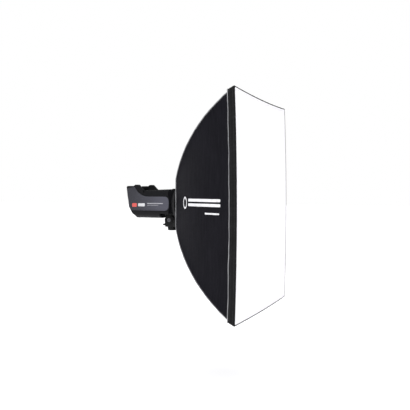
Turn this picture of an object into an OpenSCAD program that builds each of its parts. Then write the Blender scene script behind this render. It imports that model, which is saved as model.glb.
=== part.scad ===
// Rectangular softbox on a studio flash head with its tilting stand bracket.
// +X is the way the light goes, +Y is the left-hand side and +Z is up.
// The origin is the centre of the stand socket's mouth.

/* [Softbox] */
// Width of the white front
face_w = 600; // [560:5:640]
// Height of the white front
face_h = 800; // [750:5:850]
// Distance from the stand socket's axis to the white front
front_x = 386; // [380:1:392]
// Depth of the black band round the front
band_depth = 25; // [20:1:30]
// Radius that the rods are bent to by the fabric
rod_bend_r = 873; // [860:1:900]
// Diameter of a rod
rod_d = 4; // [3:0.5:4]
// Thickness of the shell fabric with its lining
fabric_t = 1.6; // [1.2:0.1:1.8]
// Distance from the stand socket's axis to the inner diffuser
baffle_x = 228; // [200:1:250]

/* [Speedring] */
// Radius of the turning bearing
bearing_r = 60; // [59:0.5:61]
// Running clearance on the bearing's radius
bearing_gap = 0.06; // [0.03:0.01:0.1]
// Outer radius of the speedring
speedring_r = 76; // [75:0.5:78]

/* [Flash head] */
// Half of the housing's width
body_half_w = 66; // [64:1:68]
// Thickness of the housing's walls
wall = 3; // [2.5:0.1:3.2]
// Radius of the front ring
ring_r = 58; // [57:0.5:59]

/* [Bracket] */
// Height of the tilt pivot over the stand socket's mouth
pivot_z = 42; // [42:0.5:44]
// Height of the light's axis over the tilt pivot
axis_above_pivot = 67; // [67:0.5:70]
// Radius of the stand socket's bore, for a 16 mm spigot
socket_bore_r = 8.15; // [8.1:0.05:8.3]
// Depth of the stand socket's bore
socket_depth = 29; // [26:0.5:29]
// Radius of the hinge discs of the bracket
hub_r = 20; // [18:0.5:20]

/* [Hidden] */
$fn = 64;

axis_z = pivot_z + axis_above_pivot;

// Every cross-section of the shell is one rectangle, so a point of it is given by
// rho, the distance from the light's axis to the rectangle's corner.
rho_front = norm([face_w, face_h]) / 2;
k_w = face_w / 2 / rho_front;
k_h = face_h / 2 / rho_front;

// The corner edge is one arc from the rear hem to the front band.
band_x = front_x - band_depth;
rear_x = 53.5;
rear_rho = 117;
shell_rho = rho_front - 20;
chord = [band_x - rear_x, shell_rho - rear_rho];
chord_mid = [band_x + rear_x, shell_rho + rear_rho] / 2;
chord_n = [chord[1], -chord[0]] / norm(chord);
arc_c = chord_mid + chord_n * sqrt(pow(rod_bend_r, 2) - pow(norm(chord) / 2, 2));
beta_rear = asin((rear_rho - arc_c[1]) / rod_bend_r);
beta_front = asin((shell_rho - arc_c[1]) / rod_bend_r);

// The rods run inside the corner edges.
rod_inset = 7.5;
rod_arc_r = rod_bend_r - rod_inset;
rod_root_rho = 79;
rod_end_x = band_x - 5;
beta_rod_root = asin((rod_root_rho - arc_c[1]) / rod_arc_r);
beta_rod_end = acos((arc_c[0] - rod_end_x) / rod_arc_r);

// Stations along the light's axis, from the housing's front to the shell
nose_x = 24.2;
nose_bore_r = 38;
ring_front_x = 36.5;
flange_x = 36.8;
speedring_x = 40;
speedring_t = 7.2;
retainer_x = 47.8;

// Side outline of the housing, measured from the light's axis
rear_top = [-170, 30];
rear_mid = [-162.5, -12];
rear_low = [-141, -58.5];
deck_front = -108;
top_rear = [-96, 53.5];
top_front_z = 57.5;
panel_t = 3;
panel_tilt = atan((rear_mid[0] - rear_top[0]) / (rear_top[1] - rear_mid[1]));
inlet_tilt = atan((rear_low[0] - rear_mid[0]) / (rear_mid[1] - rear_low[1]));

// Tilt lug, in the row's own height
lug_plate_z = 63.5;
lug_plate_t = 4.5;
lug_half_w = 11;
ear_gap = 12.3;
ear_out = 27;
stand_screw_z = 23;

// Rear face of the cooling fan
fan_x = -129.5;

// Height of the bayonet latch's locking pin over the light's axis
latch_pin_z = 46;

function arc_points(c, r, a0, a1, n) =
    [for (i = [0:n]) c + r * [cos(a0 + (a1 - a0) * i / n), sin(a0 + (a1 - a0) * i / n)]];
function shell_point(k, r, beta) = [arc_c[0] - r * cos(beta), k * (arc_c[1] + r * sin(beta))];

// Extrudes an X-Z outline from y0 to y1
module along_y(y0, y1) {
    translate([0, y1, 0]) rotate([90, 0, 0]) linear_extrude(y1 - y0) children();
}

// Extrudes a Y-Z outline from x0 to x1
module along_x(x0, x1) {
    translate([x0, 0, 0]) rotate([90, 0, 90]) linear_extrude(x1 - x0) children();
}

// Round bar along X
module bar_x(x0, x1, r) {
    translate([x0, 0, 0]) rotate([0, 90, 0]) cylinder(h = x1 - x0, r = r);
}

// Round bar along Y
module bar_y(y0, y1, r) {
    translate([0, y1, 0]) rotate([90, 0, 0]) cylinder(h = y1 - y0, r = r);
}

// Ring along X
module tube_x(x0, x1, r_out, r_in) {
    difference() {
        bar_x(x0, x1, r_out);
        bar_x(x0 - 1, x1 + 1, r_in);
    }
}

// Moves a piece from the light's axis to its height over the stand socket
module on_axis() {
    translate([0, 0, axis_z]) children();
}

// Repeats a piece round the light's axis
module round_axis(count, first = 0) {
    for (i = [0:count - 1]) rotate([first + i * 360 / count, 0, 0]) children();
}

// Local frame of the control panel: X up along it, Y left and Z out of it
module on_control_panel() {
    c = (rear_top + rear_mid) / 2;
    on_axis() translate([c[0], 0, c[1]]) rotate([0, -90 - panel_tilt, 0]) children();
}

// Local frame of the inlet panel, laid out in the same way
module on_inlet_panel() {
    c = (rear_mid + rear_low) / 2;
    on_axis() translate([c[0], 0, c[1]]) rotate([0, -90 - inlet_tilt, 0]) children();
}

// ---------- Bracket ----------

module pivot_frame() {
    translate([0, 0, pivot_z]) children();
}

module bracket_yoke() {
    shoulder_z = socket_depth - 5;
    rib_count = 12;
    color([0.09, 0.09, 0.1])
    difference() {
        union() {
            rotate_extrude() polygon([[0, 0], [14, 0], [15, 1.2], [19, shoulder_z], [0, shoulder_z]]);
            for (i = [0:rib_count - 1]) rotate([0, 0, (i + 0.5) * 360 / rib_count])
                translate([0, 0, 3]) rotate([0, 10, 0]) translate([14.2, -1.4, 0]) cube([2.2, 2.8, 19]);
            along_y(-ear_out, ear_out) polygon([
                [-17, 15], [17, 15], [19.5, pivot_z - 5], [-19.5, pivot_z - 5]]);
            pivot_frame() bar_y(-ear_out, ear_out, hub_r);
            pivot_frame() bar_y(-ear_out - 3, -ear_out + 1, 15);
        }
        // Gap for the lug, closed below by the socket's roof
        translate([-30, -ear_gap, socket_depth + 1.6]) cube([60, 2 * ear_gap, 60]);
        translate([0, 0, -1]) cylinder(h = socket_depth + 1, r = socket_bore_r);
        pivot_frame() bar_y(-40, 40, 4.06);
        pivot_frame() bar_y(-ear_out - 4, -ear_out, 11.5);
        translate([0, 0, stand_screw_z]) bar_x(-30, 0, 3.06);
        // Lightening grooves on the outer faces of both ears
        for (side = [-1, 1]) for (a = [200:35:340]) pivot_frame() rotate([0, -a, 0])
            translate([17.2, side * (ear_out + 0.6), 0]) bar_y(-1.6, 1.6, 1.7);
    }
}

module tilt_bolt() {
    color([0.55, 0.55, 0.57])
    pivot_frame() difference() {
        union() {
            bar_y(-ear_out - 2.4, ear_out + 12, 4);
            bar_y(-ear_out - 2.4, -ear_out - 0.2, 8);
        }
        translate([0, -ear_out - 3.4, 0]) rotate([-90, 0, 0]) cylinder(h = 2.4, r = 3.2, $fn = 6);
    }
}

// Toothed discs between the ears and the lug
module tilt_rosettes() {
    disc_r = 10.6;
    teeth = 24;
    color([0.35, 0.35, 0.37])
    for (side = [-1, 1]) pivot_frame() difference() {
        translate([0, side * (ear_gap + lug_half_w) / 2, 0]) bar_y(-0.55, 0.55, disc_r);
        bar_y(-20, 20, 4.06);
        for (i = [0:teeth - 1]) rotate([0, i * 360 / teeth, 0])
            translate([7, side * (lug_half_w + 0.1) - 0.25, -0.35]) cube([5, 0.5, 0.7]);
    }
}

module tilt_lever() {
    color([0.1, 0.1, 0.1])
    pivot_frame() difference() {
        union() {
            bar_y(ear_out + 0.6, ear_out + 13, 10);
            bar_y(ear_out + 0.6, ear_out + 9, 11);
            along_y(ear_out + 4, ear_out + 11) {
                polygon([[-6.5, 0], [6.5, 0], [4, -24], [-4, -24]]);
                translate([0, -24]) circle(r = 4.6);
            }
        }
        bar_y(ear_out - 2, ear_out + 12.2, 4.06);
        for (i = [0:9]) rotate([0, i * 36, 0]) translate([10.6, 0, 0])
            bar_y(ear_out + 7.5, ear_out + 14, 1.2);
    }
}

module stand_screw() {
    color([0.12, 0.12, 0.12])
    translate([0, 0, stand_screw_z]) {
        bar_x(-32, -socket_bore_r - 0.2, 3);
        translate([-33, 0, 0]) bar_y(-11, 11, 3.4);
        bar_x(-33, -24, 5);
    }
}

// ---------- Flash head: lug and housing ----------

module tilt_lug() {
    color([0.14, 0.14, 0.15])
    difference() {
        union() {
            along_y(-lug_half_w, lug_half_w) {
                translate([0, pivot_z]) circle(r = 10.6);
                polygon([[-10.4, pivot_z + 2], [10.4, pivot_z + 2], [17, lug_plate_z + 1], [-17, lug_plate_z + 1]]);
            }
            translate([-23, -30, lug_plate_z]) cube([46, 60, lug_plate_t]);
        }
        pivot_frame() bar_y(-20, 20, 4.06);
        for (x = [-17.5, 17.5], y = [-23, 23]) translate([x, y, 50]) cylinder(h = 30, r = 2.2);
    }
}

module lug_screws() {
    color([0.6, 0.6, 0.62])
    for (x = [-17.5, 17.5], y = [-23, 23]) translate([x, y, lug_plate_z - 1.3]) {
        cylinder(h = 1.2, r = 3.6);
        cylinder(h = 9, r = 2.0);
    }
}

module body_section(inset) {
    hw = body_half_w - inset;
    zt = 58 - inset;
    zb = -58.5 + inset;
    rt = 26 - inset;
    rb = 34 - inset;
    translate([-hw, zb + rb]) square([2 * hw, zt - rt - zb - rb]);
    translate([-hw + rt, zt - rt]) square([2 * (hw - rt), rt]);
    translate([-hw + rb, zb]) square([2 * (hw - rb), rb]);
    for (s = [-1, 1]) {
        translate([s * (hw - rt), zt - rt]) circle(r = rt);
        translate([s * (hw - rb), zb + rb]) circle(r = rb);
    }
}

module body_outline(inset) {
    polygon([
        [nose_x - inset, rear_low[1] + inset], [nose_x - inset, top_front_z - inset],
        top_rear + [inset, -inset], [deck_front + inset, rear_top[1] - inset],
        rear_top + [inset, -inset], rear_mid + [inset, 0], rear_low + [inset, inset]]);
}

// Chamfer cone that blends the rounded housing into the front ring
module nose_cone(inset) {
    slope = 1.6;
    on_axis() translate([nose_x, 0, 0]) rotate([0, -90, 0])
        cylinder(h = 240, r1 = 60 - inset, r2 = 60 - inset + 240 * slope);
}

module body_solid(inset) {
    intersection() {
        on_axis() along_y(-body_half_w - 1, body_half_w + 1) body_outline(inset);
        on_axis() along_x(-200, 30) body_section(inset);
        nose_cone(inset);
    }
}

// Outline of the two raised horns that hold the carrying handle
module horn_outline(inset) {
    polygon(concat(
        [[-97 - inset, 28], top_rear + [-1 - inset, 0]],
        arc_points([-123, 69], 7 - inset, 38, 90, 6),
        [[-134 + inset, 76 - inset], [-140, 71.5 - inset], [-144, 68 - inset], [-148, 71 - inset]],
        arc_points([-168.5, 65], 6 - inset, 90, 175, 5),
        [rear_top + [inset, -2]]));
}

module horn(side) {
    y0 = side > 0 ? body_half_w - 13 : -body_half_w;
    on_axis() along_y(y0, y0 + 13) horn_outline(0);
}

// Outline of the grey side insert, with its sweep up to the handle
module insert_outline(inset) {
    end_r = 18 - inset;
    polygon(concat(
        [[rear_top[0] + 6.5 + inset, -12], [-155 + inset, -28 + inset]],
        arc_points([0.5, -10], end_r, -90, 0, 6),
        arc_points([0.5, 10], end_r, 0, 90, 6),
        arc_points([-75, 96], 68 + inset, -90, -155, 9),
        [[-170 + inset, 62 - inset], [rear_top[0] + 2 + inset, 30]]));
}

// Space under the housing for the bracket and for the stand screw's handle
module bracket_recess(grow) {
    translate([-26 - grow, -80, 0]) cube([60 + grow, 160, lug_plate_z + lug_plate_t + 0.2 + grow]);
    translate([-62 - grow, -16 - grow, 0]) cube([60, 32 + 2 * grow, lug_plate_z + 1.7 + grow]);
}

module housing_solid() {
    difference() {
        union() {
            body_solid(0);
            horn(1);
            horn(-1);
        }
        difference() {
            body_solid(wall);
            bracket_recess(wall - 0.5);
        }
        bracket_recess(0);
        // Light opening in the nose wall
        on_axis() bar_x(10, 30, nose_bore_r);
        // Rear opening, closed by the control panel and the inlet panel
        on_axis() along_y(-60, 60) polygon([
            rear_top + [-8, 0.4], rear_top + [panel_t + 1, 0.4], rear_mid + [panel_t + 1, 0],
            rear_low + [panel_t + 1.5, 3.5], rear_low + [-2, 3.5], rear_low + [-30, 3.5]]);
        for (s = [-1, 1]) on_axis()
            along_y(s > 0 ? body_half_w - 1.4 : -body_half_w - 2, s > 0 ? body_half_w + 2 : -body_half_w + 1.4)
                insert_outline(-0.3);
    }
}

module upper_shell() {
    color([0.11, 0.11, 0.12])
    difference() {
        intersection() {
            housing_solid();
            on_axis() translate([-200, -80, 0.15]) cube([240, 160, 90]);
        }
        // Slot of the bayonet latch
        on_axis() translate([-1, -5.2, 50]) cube([18, 10.4, 12]);
        on_axis() translate([0, 0, latch_pin_z]) bar_x(10, 30, 1.8);
        // Cooling slots in front of the handle
        for (i = [0:7]) on_axis() translate([-88 + i * 6, -24, 48]) cube([2.4, 48, 12]);
        // Seats of the handle grip
        on_axis() translate([-154, 0, 60]) bar_y(-58, 58, 6.15);
    }
}

module lower_shell() {
    color([0.1, 0.1, 0.11])
    difference() {
        intersection() {
            housing_solid();
            on_axis() translate([-200, -80, -90]) cube([240, 160, 89.85]);
        }
        for (i = [0:9]) on_axis() translate([-124 + i * 6, -28, -62]) cube([2.6, 56, 10]);
        for (x = [-17.5, 17.5], y = [-23, 23]) translate([x, y, 60]) cylinder(h = 20, r = 2.05);
        for (p = housing_screw_places()) on_axis() translate([p[0], p[1], -60]) cylinder(h = 10, r = 2.46);
    }
}

module side_panel(side) {
    y0 = side > 0 ? body_half_w - 1.3 : -body_half_w - 0.9;
    color([0.29, 0.29, 0.34])
    on_axis() difference() {
        along_y(y0, y0 + 2.2) insert_outline(0);
        // Fine rib along the lower edge
        translate([-148, side * (body_half_w + 0.9) - 0.5, -24.6]) cube([150, 1, 1]);
    }
}

module handle_grip() {
    color([0.07, 0.07, 0.07])
    on_axis() translate([-154, 0, 60]) {
        bar_y(-57.5, 57.5, 6);
        bar_y(-52.6, 52.6, 8.4);
        for (i = [0:10]) translate([0, i * 9 - 45, 0]) bar_y(-2.6, 2.6, 9.4);
    }
}

module control_panel() {
    h = norm(rear_top - rear_mid);
    color([0.13, 0.13, 0.14])
    difference() {
        on_control_panel() translate([-h / 2 + 0.2, -59.6, -panel_t]) cube([h - 0.4, 119.2, panel_t]);
        on_control_panel() {
            translate([-5.2, -20.2, -1.6]) cube([22.4, 40.4, 4]);
            translate([0, 36, -5]) cylinder(h = 10, r = 3.3);
            for (p = button_places()) translate([p[0], p[1], -5]) cylinder(h = 10, r = 4.3);
            translate([-13, 0, -5]) cylinder(h = 10, r = 4.6);
        }
        // Keeps the plate inside the rounded corners of the housing
        difference() {
            on_axis() translate([-200, -100, -60]) cube([100, 200, 120]);
            on_axis() along_x(-210, 0) body_section(wall + 0.3);
        }
    }
}

function button_places() = [[9, -46], [9, -32], [-9, -46], [-9, -32]];

module inlet_panel() {
    h = norm(rear_mid - rear_low);
    color([0.12, 0.12, 0.13])
    difference() {
        on_inlet_panel() translate([-h / 2 + 5, -59.6, -panel_t]) cube([h - 5.6, 119.2, panel_t]);
        on_inlet_panel() {
            translate([-10.2, -42.2, -5]) cube([20.4, 28.4, 10]);
            translate([-7.2, -3.2, -5]) cube([14.4, 20.4, 10]);
            translate([8, 34, -5]) cylinder(h = 10, r = 6.2);
            translate([-9, 34, -5]) cylinder(h = 10, r = 4.2);
        }
        difference() {
            on_axis() translate([-200, -100, -70]) cube([100, 200, 120]);
            on_axis() along_x(-210, 0) body_section(wall + 0.3);
        }
    }
}

module display_window() {
    color([0.05, 0.07, 0.08])
    on_control_panel() translate([-5, -20, -1.4]) cube([22, 40, 1.7]);
}

// ---------- Flash head: front ring and light ----------

module front_ring() {
    color([0.08, 0.08, 0.09])
    on_axis() difference() {
        union() {
            bar_x(nose_x + 0.2, ring_front_x, ring_r);
            bar_x(nose_x + 4, nose_x + 6.5, ring_r + 1);
        }
        bar_x(nose_x - 1, ring_front_x + 1, ring_r - 5);
    }
}

// Three notches let the lugs of the insert in; a third of a turn back they are locked
module bayonet_ring() {
    color([0.62, 0.62, 0.64])
    on_axis() difference() {
        bar_x(31, 35.8, ring_r - 5.2);
        bar_x(30, 37, 44.2);
        round_axis(3, 60) intersection() {
            bar_x(30, 37, 49);
            translate([30, 0, 0]) rotate([90, 0, 90]) linear_extrude(8) polygon([[0, 0], [60, -26], [60, 26]]);
        }
    }
}

module ring_insert() {
    color([0.7, 0.7, 0.72])
    on_axis() difference() {
        union() {
            bar_x(24.8, flange_x + 1, 43.4);
            round_axis(3) intersection() {
                bar_x(25.6, 30.6, 47.8);
                translate([25, 0, 0]) rotate([90, 0, 90]) linear_extrude(6) polygon([[0, 0], [60, -21], [60, 21]]);
            }
            bar_x(flange_x, speedring_x - 0.4, 65);
            bar_x(speedring_x - 1, retainer_x - 0.2, bearing_r);
        }
        bar_x(20, 60, 40.6);
        bar_x(speedring_x, 60, 51);
        round_axis(6, 30) translate([0, 55.5, 0]) bar_x(43, 60, 1.6);
    }
}

module insert_retainer() {
    color([0.2, 0.2, 0.21])
    on_axis() difference() {
        tube_x(retainer_x, retainer_x + 2.5, 66, 51);
        round_axis(6, 30) translate([0, 55.5, 0]) bar_x(40, 60, 1.7);
    }
}

module retainer_screws() {
    color([0.75, 0.75, 0.76])
    on_axis() round_axis(6, 30) translate([0, 55.5, 0]) difference() {
        union() {
            bar_x(44, retainer_x + 2.6, 1.5);
            bar_x(retainer_x + 2.6, retainer_x + 4, 2.9);
        }
        translate([retainer_x + 3.4, -3, -0.4]) cube([1, 6, 0.8]);
    }
}

module reflector_plate() {
    color([0.85, 0.85, 0.86])
    on_axis() difference() {
        bar_x(22.4, 23.6, nose_bore_r - 0.4);
        bar_x(20, 30, 14.2);
        for (a = [0, 180]) rotate([a, 0, 0]) translate([0, 27, 0]) bar_x(20, 30, 4.4);
    }
}

// Ring tube with its two legs
module flash_tube() {
    color([0.95, 0.95, 0.92])
    on_axis() {
        translate([33, 0, 0]) rotate([0, 90, 0]) rotate([0, 0, 97]) rotate_extrude(angle = 346)
            translate([27, 0]) circle(r = 3.6, $fn = 24);
        for (s = [-1, 1]) translate([0, 27 * cos(7), s * 27 * sin(7)]) bar_x(26, 33, 2.2);
        translate([0, -27, 0]) bar_x(25.6, 30, 1.4);
    }
}

module tube_sockets() {
    color([0.93, 0.92, 0.88])
    on_axis() {
        difference() {
            translate([19, 22, -6.5]) cube([6.6, 10, 13]);
            bar_x(22, 24, nose_bore_r);
        }
        translate([23.8, 23.5, -6]) cube([2, 7, 12]);
        translate([0, -27, 0]) bar_x(19, 25.4, 4);
    }
}

module modelling_lamp() {
    color([0.97, 0.95, 0.88, 0.6])
    on_axis() translate([26, 0, 0]) rotate([0, 90, 0]) rotate_extrude() polygon(concat(
        [[0, 0], [9, 0], [9, 4], [10.5, 8]],
        arc_points([0, 17], 13, -20, 90, 10)));
}

module lamp_holder() {
    color([0.9, 0.88, 0.82])
    on_axis() difference() {
        bar_x(-4, 25.8, 13.8);
        bar_x(12, 27, 11);
    }
}

// ---------- Flash head: inside the housing ----------

module chassis_tray() {
    color([0.66, 0.67, 0.68])
    on_axis() difference() {
        union() {
            translate([-114, -46, -41]) cube([84, 92, 1.2]);
            translate([-114, -46, -41]) cube([1.5, 92, 4.6]);
            // Steps up over the bracket's recess to carry the lamp holder
            translate([-31.5, -40, -41]) cube([1.5, 80, 5.3]);
            translate([-31.5, -40, -37.2]) cube([47.5, 80, 1.5]);
            translate([14.5, -30, -37.2]) cube([1.5, 60, 23.2]);
        }
        for (x = [-106, -88, -70], y = [-38, 38]) translate([x, y, -45]) cylinder(h = 8, r = 2);
    }
}

module capacitor_bank() {
    can_r = 17;
    color([0.12, 0.17, 0.36])
    on_axis() for (p = [[25, -22.5], [-11, -22.5], [25, 12.5]]) translate([-100, p[0], p[1]]) {
        bar_x(0, 66, can_r);
        bar_x(66.2, 67.4, can_r - 3);
    }
}

module circuit_board() {
    color([0.08, 0.32, 0.16])
    on_axis() {
        translate([-116, -44, -36]) cube([112, 1.6, 60]);
        for (i = [0:5]) translate([-106 + i * 17, -42.4, -14 + 8 * (i % 3)]) cube([9, 7, 11]);
        for (i = [0:3]) translate([-100 + i * 22, -42.4, 20]) rotate([-90, 0, 0]) cylinder(h = 10, r = 4);
    }
}

module fan_frame() {
    color([0.1, 0.1, 0.1])
    on_axis() translate([fan_x, 0, -6]) difference() {
        union() {
            difference() {
                translate([0, -28, -28]) cube([13, 56, 56]);
                bar_x(-1, 14, 26.4);
            }
            for (a = [45:90:315]) rotate([a, 0, 0]) translate([0, 8, -1.2]) cube([1.6, 19.5, 2.4]);
            bar_x(0, 1.6, 10);
        }
        bar_x(-1, 3, 2.05);
        for (y = [-24.5, 24.5], z = [-24.5, 24.5]) translate([0, y, z]) bar_x(-1, 14, 2.1);
    }
}

module fan_rotor() {
    color([0.16, 0.16, 0.17])
    on_axis() translate([fan_x, 0, -6]) {
        bar_x(0, 3, 2);
        bar_x(2.6, 11, 10);
        round_axis(7) translate([5.4, 9, 0]) rotate([0, 32, 0]) translate([0, 0, -5]) cube([1.2, 15.6, 10]);
    }
}

module fuse_cap() {
    color([0.1, 0.1, 0.1])
    on_inlet_panel() translate([8, 34, 0]) difference() {
        union() {
            translate([0, 0, -14]) cylinder(h = 14, r = 6);
            cylinder(h = 3.6, r = 7.6);
        }
        translate([-5, -0.7, 2.4]) cube([10, 1.4, 2]);
    }
}

// Cold-appliance inlet with its three blades inside
module mains_inlet() {
    color([0.07, 0.07, 0.07])
    on_inlet_panel() translate([0, -28, 0]) {
        difference() {
            union() {
                translate([-10, -14, -18]) cube([20, 28, 18]);
                translate([-12, -19, 0.1]) cube([24, 38, 1.8]);
            }
            translate([-8, -12, -15]) cube([16, 24, 20]);
            for (y = [-16.4, 16.4]) translate([0, y, -1]) cylinder(h = 5, r = 1.2);
        }
        for (p = [[-2.5, -7], [-2.5, 7], [2.5, 0]]) translate([p[0] - 2, p[1] - 1, -15.2]) cube([4, 2, 11]);
    }
}

module sync_socket() {
    color([0.5, 0.5, 0.5])
    on_inlet_panel() translate([-9, 34, 0]) difference() {
        union() {
            translate([0, 0, -16]) cylinder(h = 16, r = 4);
            cylinder(h = 1.6, r = 6);
        }
        translate([0, 0, -14]) cylinder(h = 20, r = 1.85);
    }
}

module sensor_dome() {
    color([0.35, 0.03, 0.03, 0.8])
    on_control_panel() translate([-13, 0, -2]) {
        cylinder(h = 2, r = 4.4);
        intersection() {
            translate([0, 0, 2]) sphere(r = 4.4, $fn = 32);
            cylinder(h = 8, r = 5);
        }
    }
}

function housing_screw_places() = [for (y = [-40, 40], x = [-128, -72]) [x, y]];

module housing_screws() {
    color([0.25, 0.25, 0.26])
    for (p = housing_screw_places()) on_axis() translate([p[0], p[1], -58.5]) difference() {
        cylinder(h = 6, r = 2.4);
        translate([-0.5, -3, -1]) cube([1, 6, 1.8]);
    }
}

// ---------- Flash head: controls that move ----------

module power_dial() {
    grips = 16;
    color([0.1, 0.1, 0.1])
    on_control_panel() translate([0, 36, 0]) difference() {
        union() {
            translate([0, 0, -6]) cylinder(h = 8, r = 3.2);
            translate([0, 0, 0.5]) cylinder(h = 9, r1 = 12, r2 = 11);
        }
        for (i = [0:grips - 1]) rotate([0, 0, i * 360 / grips]) translate([12.2, 0, 0]) cylinder(h = 12, r = 1.1);
        translate([4, -0.5, 8.9]) cube([9, 1, 2]);
    }
}

module push_button(place) {
    color([0.75, 0.75, 0.77])
    on_control_panel() translate([place[0], place[1], -4]) {
        cylinder(h = 5.6, r = 4.1);
        translate([0, 0, -1]) cylinder(h = 1, r = 5);
    }
}

module power_rocker() {
    color([0.06, 0.06, 0.06])
    on_inlet_panel() translate([0, 7, -1]) difference() {
        translate([0, 10, 0]) rotate([90, 0, 0]) linear_extrude(20)
            polygon([[-6.2, -4], [6.2, -4], [6.2, 3.6], [0, 1.6], [-6.2, 2.2]]);
        translate([3.6, -1, 2]) cube([1.2, 2, 4]);
        // Bore of its pivot pin
        translate([0, 11, -1]) rotate([90, 0, 0]) cylinder(h = 22, r = 1);
    }
}

module bayonet_latch() {
    color([0.12, 0.12, 0.12])
    on_axis() {
        translate([4, -5, 50.6]) cube([12.6, 10, 8.4]);
        for (i = [0:3]) translate([5.6 + i * 2.6, -4.4, 59]) cube([1.2, 8.8, 0.7]);
        translate([1, -8, 50]) cube([18, 16, 2.6]);
        translate([16, -2.5, latch_pin_z - 1.4]) cube([3, 5, 6]);
        translate([0, 0, latch_pin_z]) bar_x(18, 29.6, 1.4);
    }
}

// ---------- Softbox ----------

// Direction of a corner, from its left-right and up-down signs
function corner_turn(sy, sz) = atan2(sz * face_h, sy * face_w);

// Bar that follows the corner arc at radius r, between two arc angles
module corner_bar(sy, sz, r, bar_r, beta0, beta1) {
    on_axis() rotate([corner_turn(sy, sz), 0, 0]) translate([arc_c[0], arc_c[1], 0])
        rotate([0, 0, 180 - beta1]) rotate_extrude(angle = beta1 - beta0)
            translate([r, 0]) circle(r = bar_r, $fn = 24);
}

// Local frame at an arc angle: X points along the rod to the front, Y away from the axis
module on_rod(sy, sz, beta) {
    p = shell_point(1, rod_arc_r, beta);
    on_axis() rotate([corner_turn(sy, sz), 0, 0]) translate([p[0], p[1], 0])
        rotate([0, 0, 90 - beta]) children();
}

module speedring() {
    color([0.16, 0.16, 0.17])
    difference() {
        union() {
            on_axis() bar_x(speedring_x, speedring_x + speedring_t, speedring_r);
            for (sy = [-1, 1], sz = [-1, 1]) on_rod(sy, sz, beta_rod_root) bar_x(-6, 27, 5.2);
        }
        on_axis() bar_x(speedring_x - 12, speedring_x + 20, bearing_r + bearing_gap);
        for (sy = [-1, 1], sz = [-1, 1]) on_rod(sy, sz, beta_rod_root) bar_x(-1, 40, rod_d / 2 + 0.3);
        // Slots between the sockets
        for (a = [0:90:270]) on_axis() rotate([a, 0, 0]) for (b = [-16, 0, 16]) rotate([b, 0, 0])
            translate([0, 68.5, 0]) bar_x(speedring_x - 1, speedring_x + 10, 3.2);
    }
}

module rear_flap() {
    color([0.1, 0.1, 0.12])
    difference() {
        on_axis() translate([rear_x - 1.4, -k_w * rear_rho + 3.2, -k_h * rear_rho + 3.2])
            cube([1.2, 2 * k_w * rear_rho - 6.4, 2 * k_h * rear_rho - 6.4]);
        on_axis() bar_x(40, 60, 56);
        for (sy = [-1, 1], sz = [-1, 1]) on_rod(sy, sz, beta_rod_root) bar_x(0, 60, 7.5);
    }
}

module rod(sy, sz) {
    color([0.78, 0.78, 0.75])
        corner_bar(sy, sz, rod_arc_r, rod_d / 2, beta_rod_root, beta_rod_end);
}

// Caps that keep the rod ends from piercing the corner pockets
module rod_tips() {
    color([0.06, 0.06, 0.06])
    for (sy = [-1, 1], sz = [-1, 1]) on_rod(sy, sz, beta_rod_end) difference() {
        union() {
            bar_x(-14, 1.2, 3.5);
            translate([1.2, 0, 0]) sphere(r = 3.5, $fn = 32);
        }
        bar_x(-15, 0.2, rod_d / 2 + 0.12);
    }
}

// One of the four shell walls: its own outline along Y, cut by the corner planes
module shell_wall(k, k_across, turn) {
    steps = 14;
    span = beta_front - beta_rear;
    outer = [for (i = [0:steps]) shell_point(k, rod_bend_r, beta_rear + span * i / steps)];
    inner = [for (i = [steps:-1:0]) shell_point(k, rod_bend_r - fabric_t, beta_rear + span * i / steps)];
    reach = rho_front * 1.1;
    on_axis() rotate([turn, 0, 0]) intersection() {
        along_y(-k_across * reach, k_across * reach) polygon(concat(outer, inner));
        along_x(0, front_x + 20)
            polygon([[0, 0], [k_across * reach, k * reach], [-k_across * reach, k * reach]]);
    }
}

module panel_top() {
    color([0.14, 0.14, 0.16]) shell_wall(k_h, k_w, 0);
}

module panel_bottom() {
    color([0.14, 0.14, 0.16]) shell_wall(k_h, k_w, 180);
}

module panel_left() {
    color([0.14, 0.14, 0.16]) shell_wall(k_w, k_h, -90);
}

module panel_right() {
    color([0.14, 0.14, 0.16]) shell_wall(k_w, k_h, 90);
}

// One side of the flared front band
module band_wall(k, k_across, turn) {
    x0 = band_x + 0.4;
    x1 = front_x - 1.3;
    rho0 = rho_front - 9;
    reach = rho_front * 1.1;
    on_axis() rotate([turn, 0, 0]) intersection() {
        along_y(-k_across * reach, k_across * reach) polygon([
            [x0, k * (rho0 - 2.4)], [x0, k * rho0], [x1, k * rho_front], [x1, k * (rho_front - 2.4)]]);
        along_x(0, front_x + 20)
            polygon([[0, 0], [k_across * reach, k * reach], [-k_across * reach, k * reach]]);
    }
}

module front_band() {
    color([0.18, 0.18, 0.19]) {
        band_wall(k_h, k_w, 0);
        band_wall(k_h, k_w, 180);
        band_wall(k_w, k_h, 90);
        band_wall(k_w, k_h, -90);
    }
}

module front_diffuser() {
    color([0.97, 0.97, 0.98])
    on_axis() translate([front_x - 1.2, -face_w / 2 + 0.3, -face_h / 2 + 0.3])
        cube([1.2, face_w - 0.6, face_h - 0.6]);
}

// Half sizes of the inner diffuser, clear of the shell at its station
baffle_rho = arc_c[1] + sqrt(pow(rod_arc_r, 2) - pow(arc_c[0] - baffle_x, 2)) - 30;

module inner_diffuser() {
    color([0.95, 0.95, 0.96])
    on_axis() translate([baffle_x, -k_w * baffle_rho, -k_h * baffle_rho])
        cube([1.2, 2 * k_w * baffle_rho, 2 * k_h * baffle_rho]);
}

// Elastic straps from the inner diffuser's corners to the rods
module diffuser_straps() {
    color([0.08, 0.08, 0.08])
    on_axis() for (sy = [-1, 1], sz = [-1, 1]) rotate([corner_turn(sy, sz), 0, 0])
        translate([baffle_x + 1.4, baffle_rho - 22, -6]) cube([1.2, 48, 12]);
}

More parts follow.
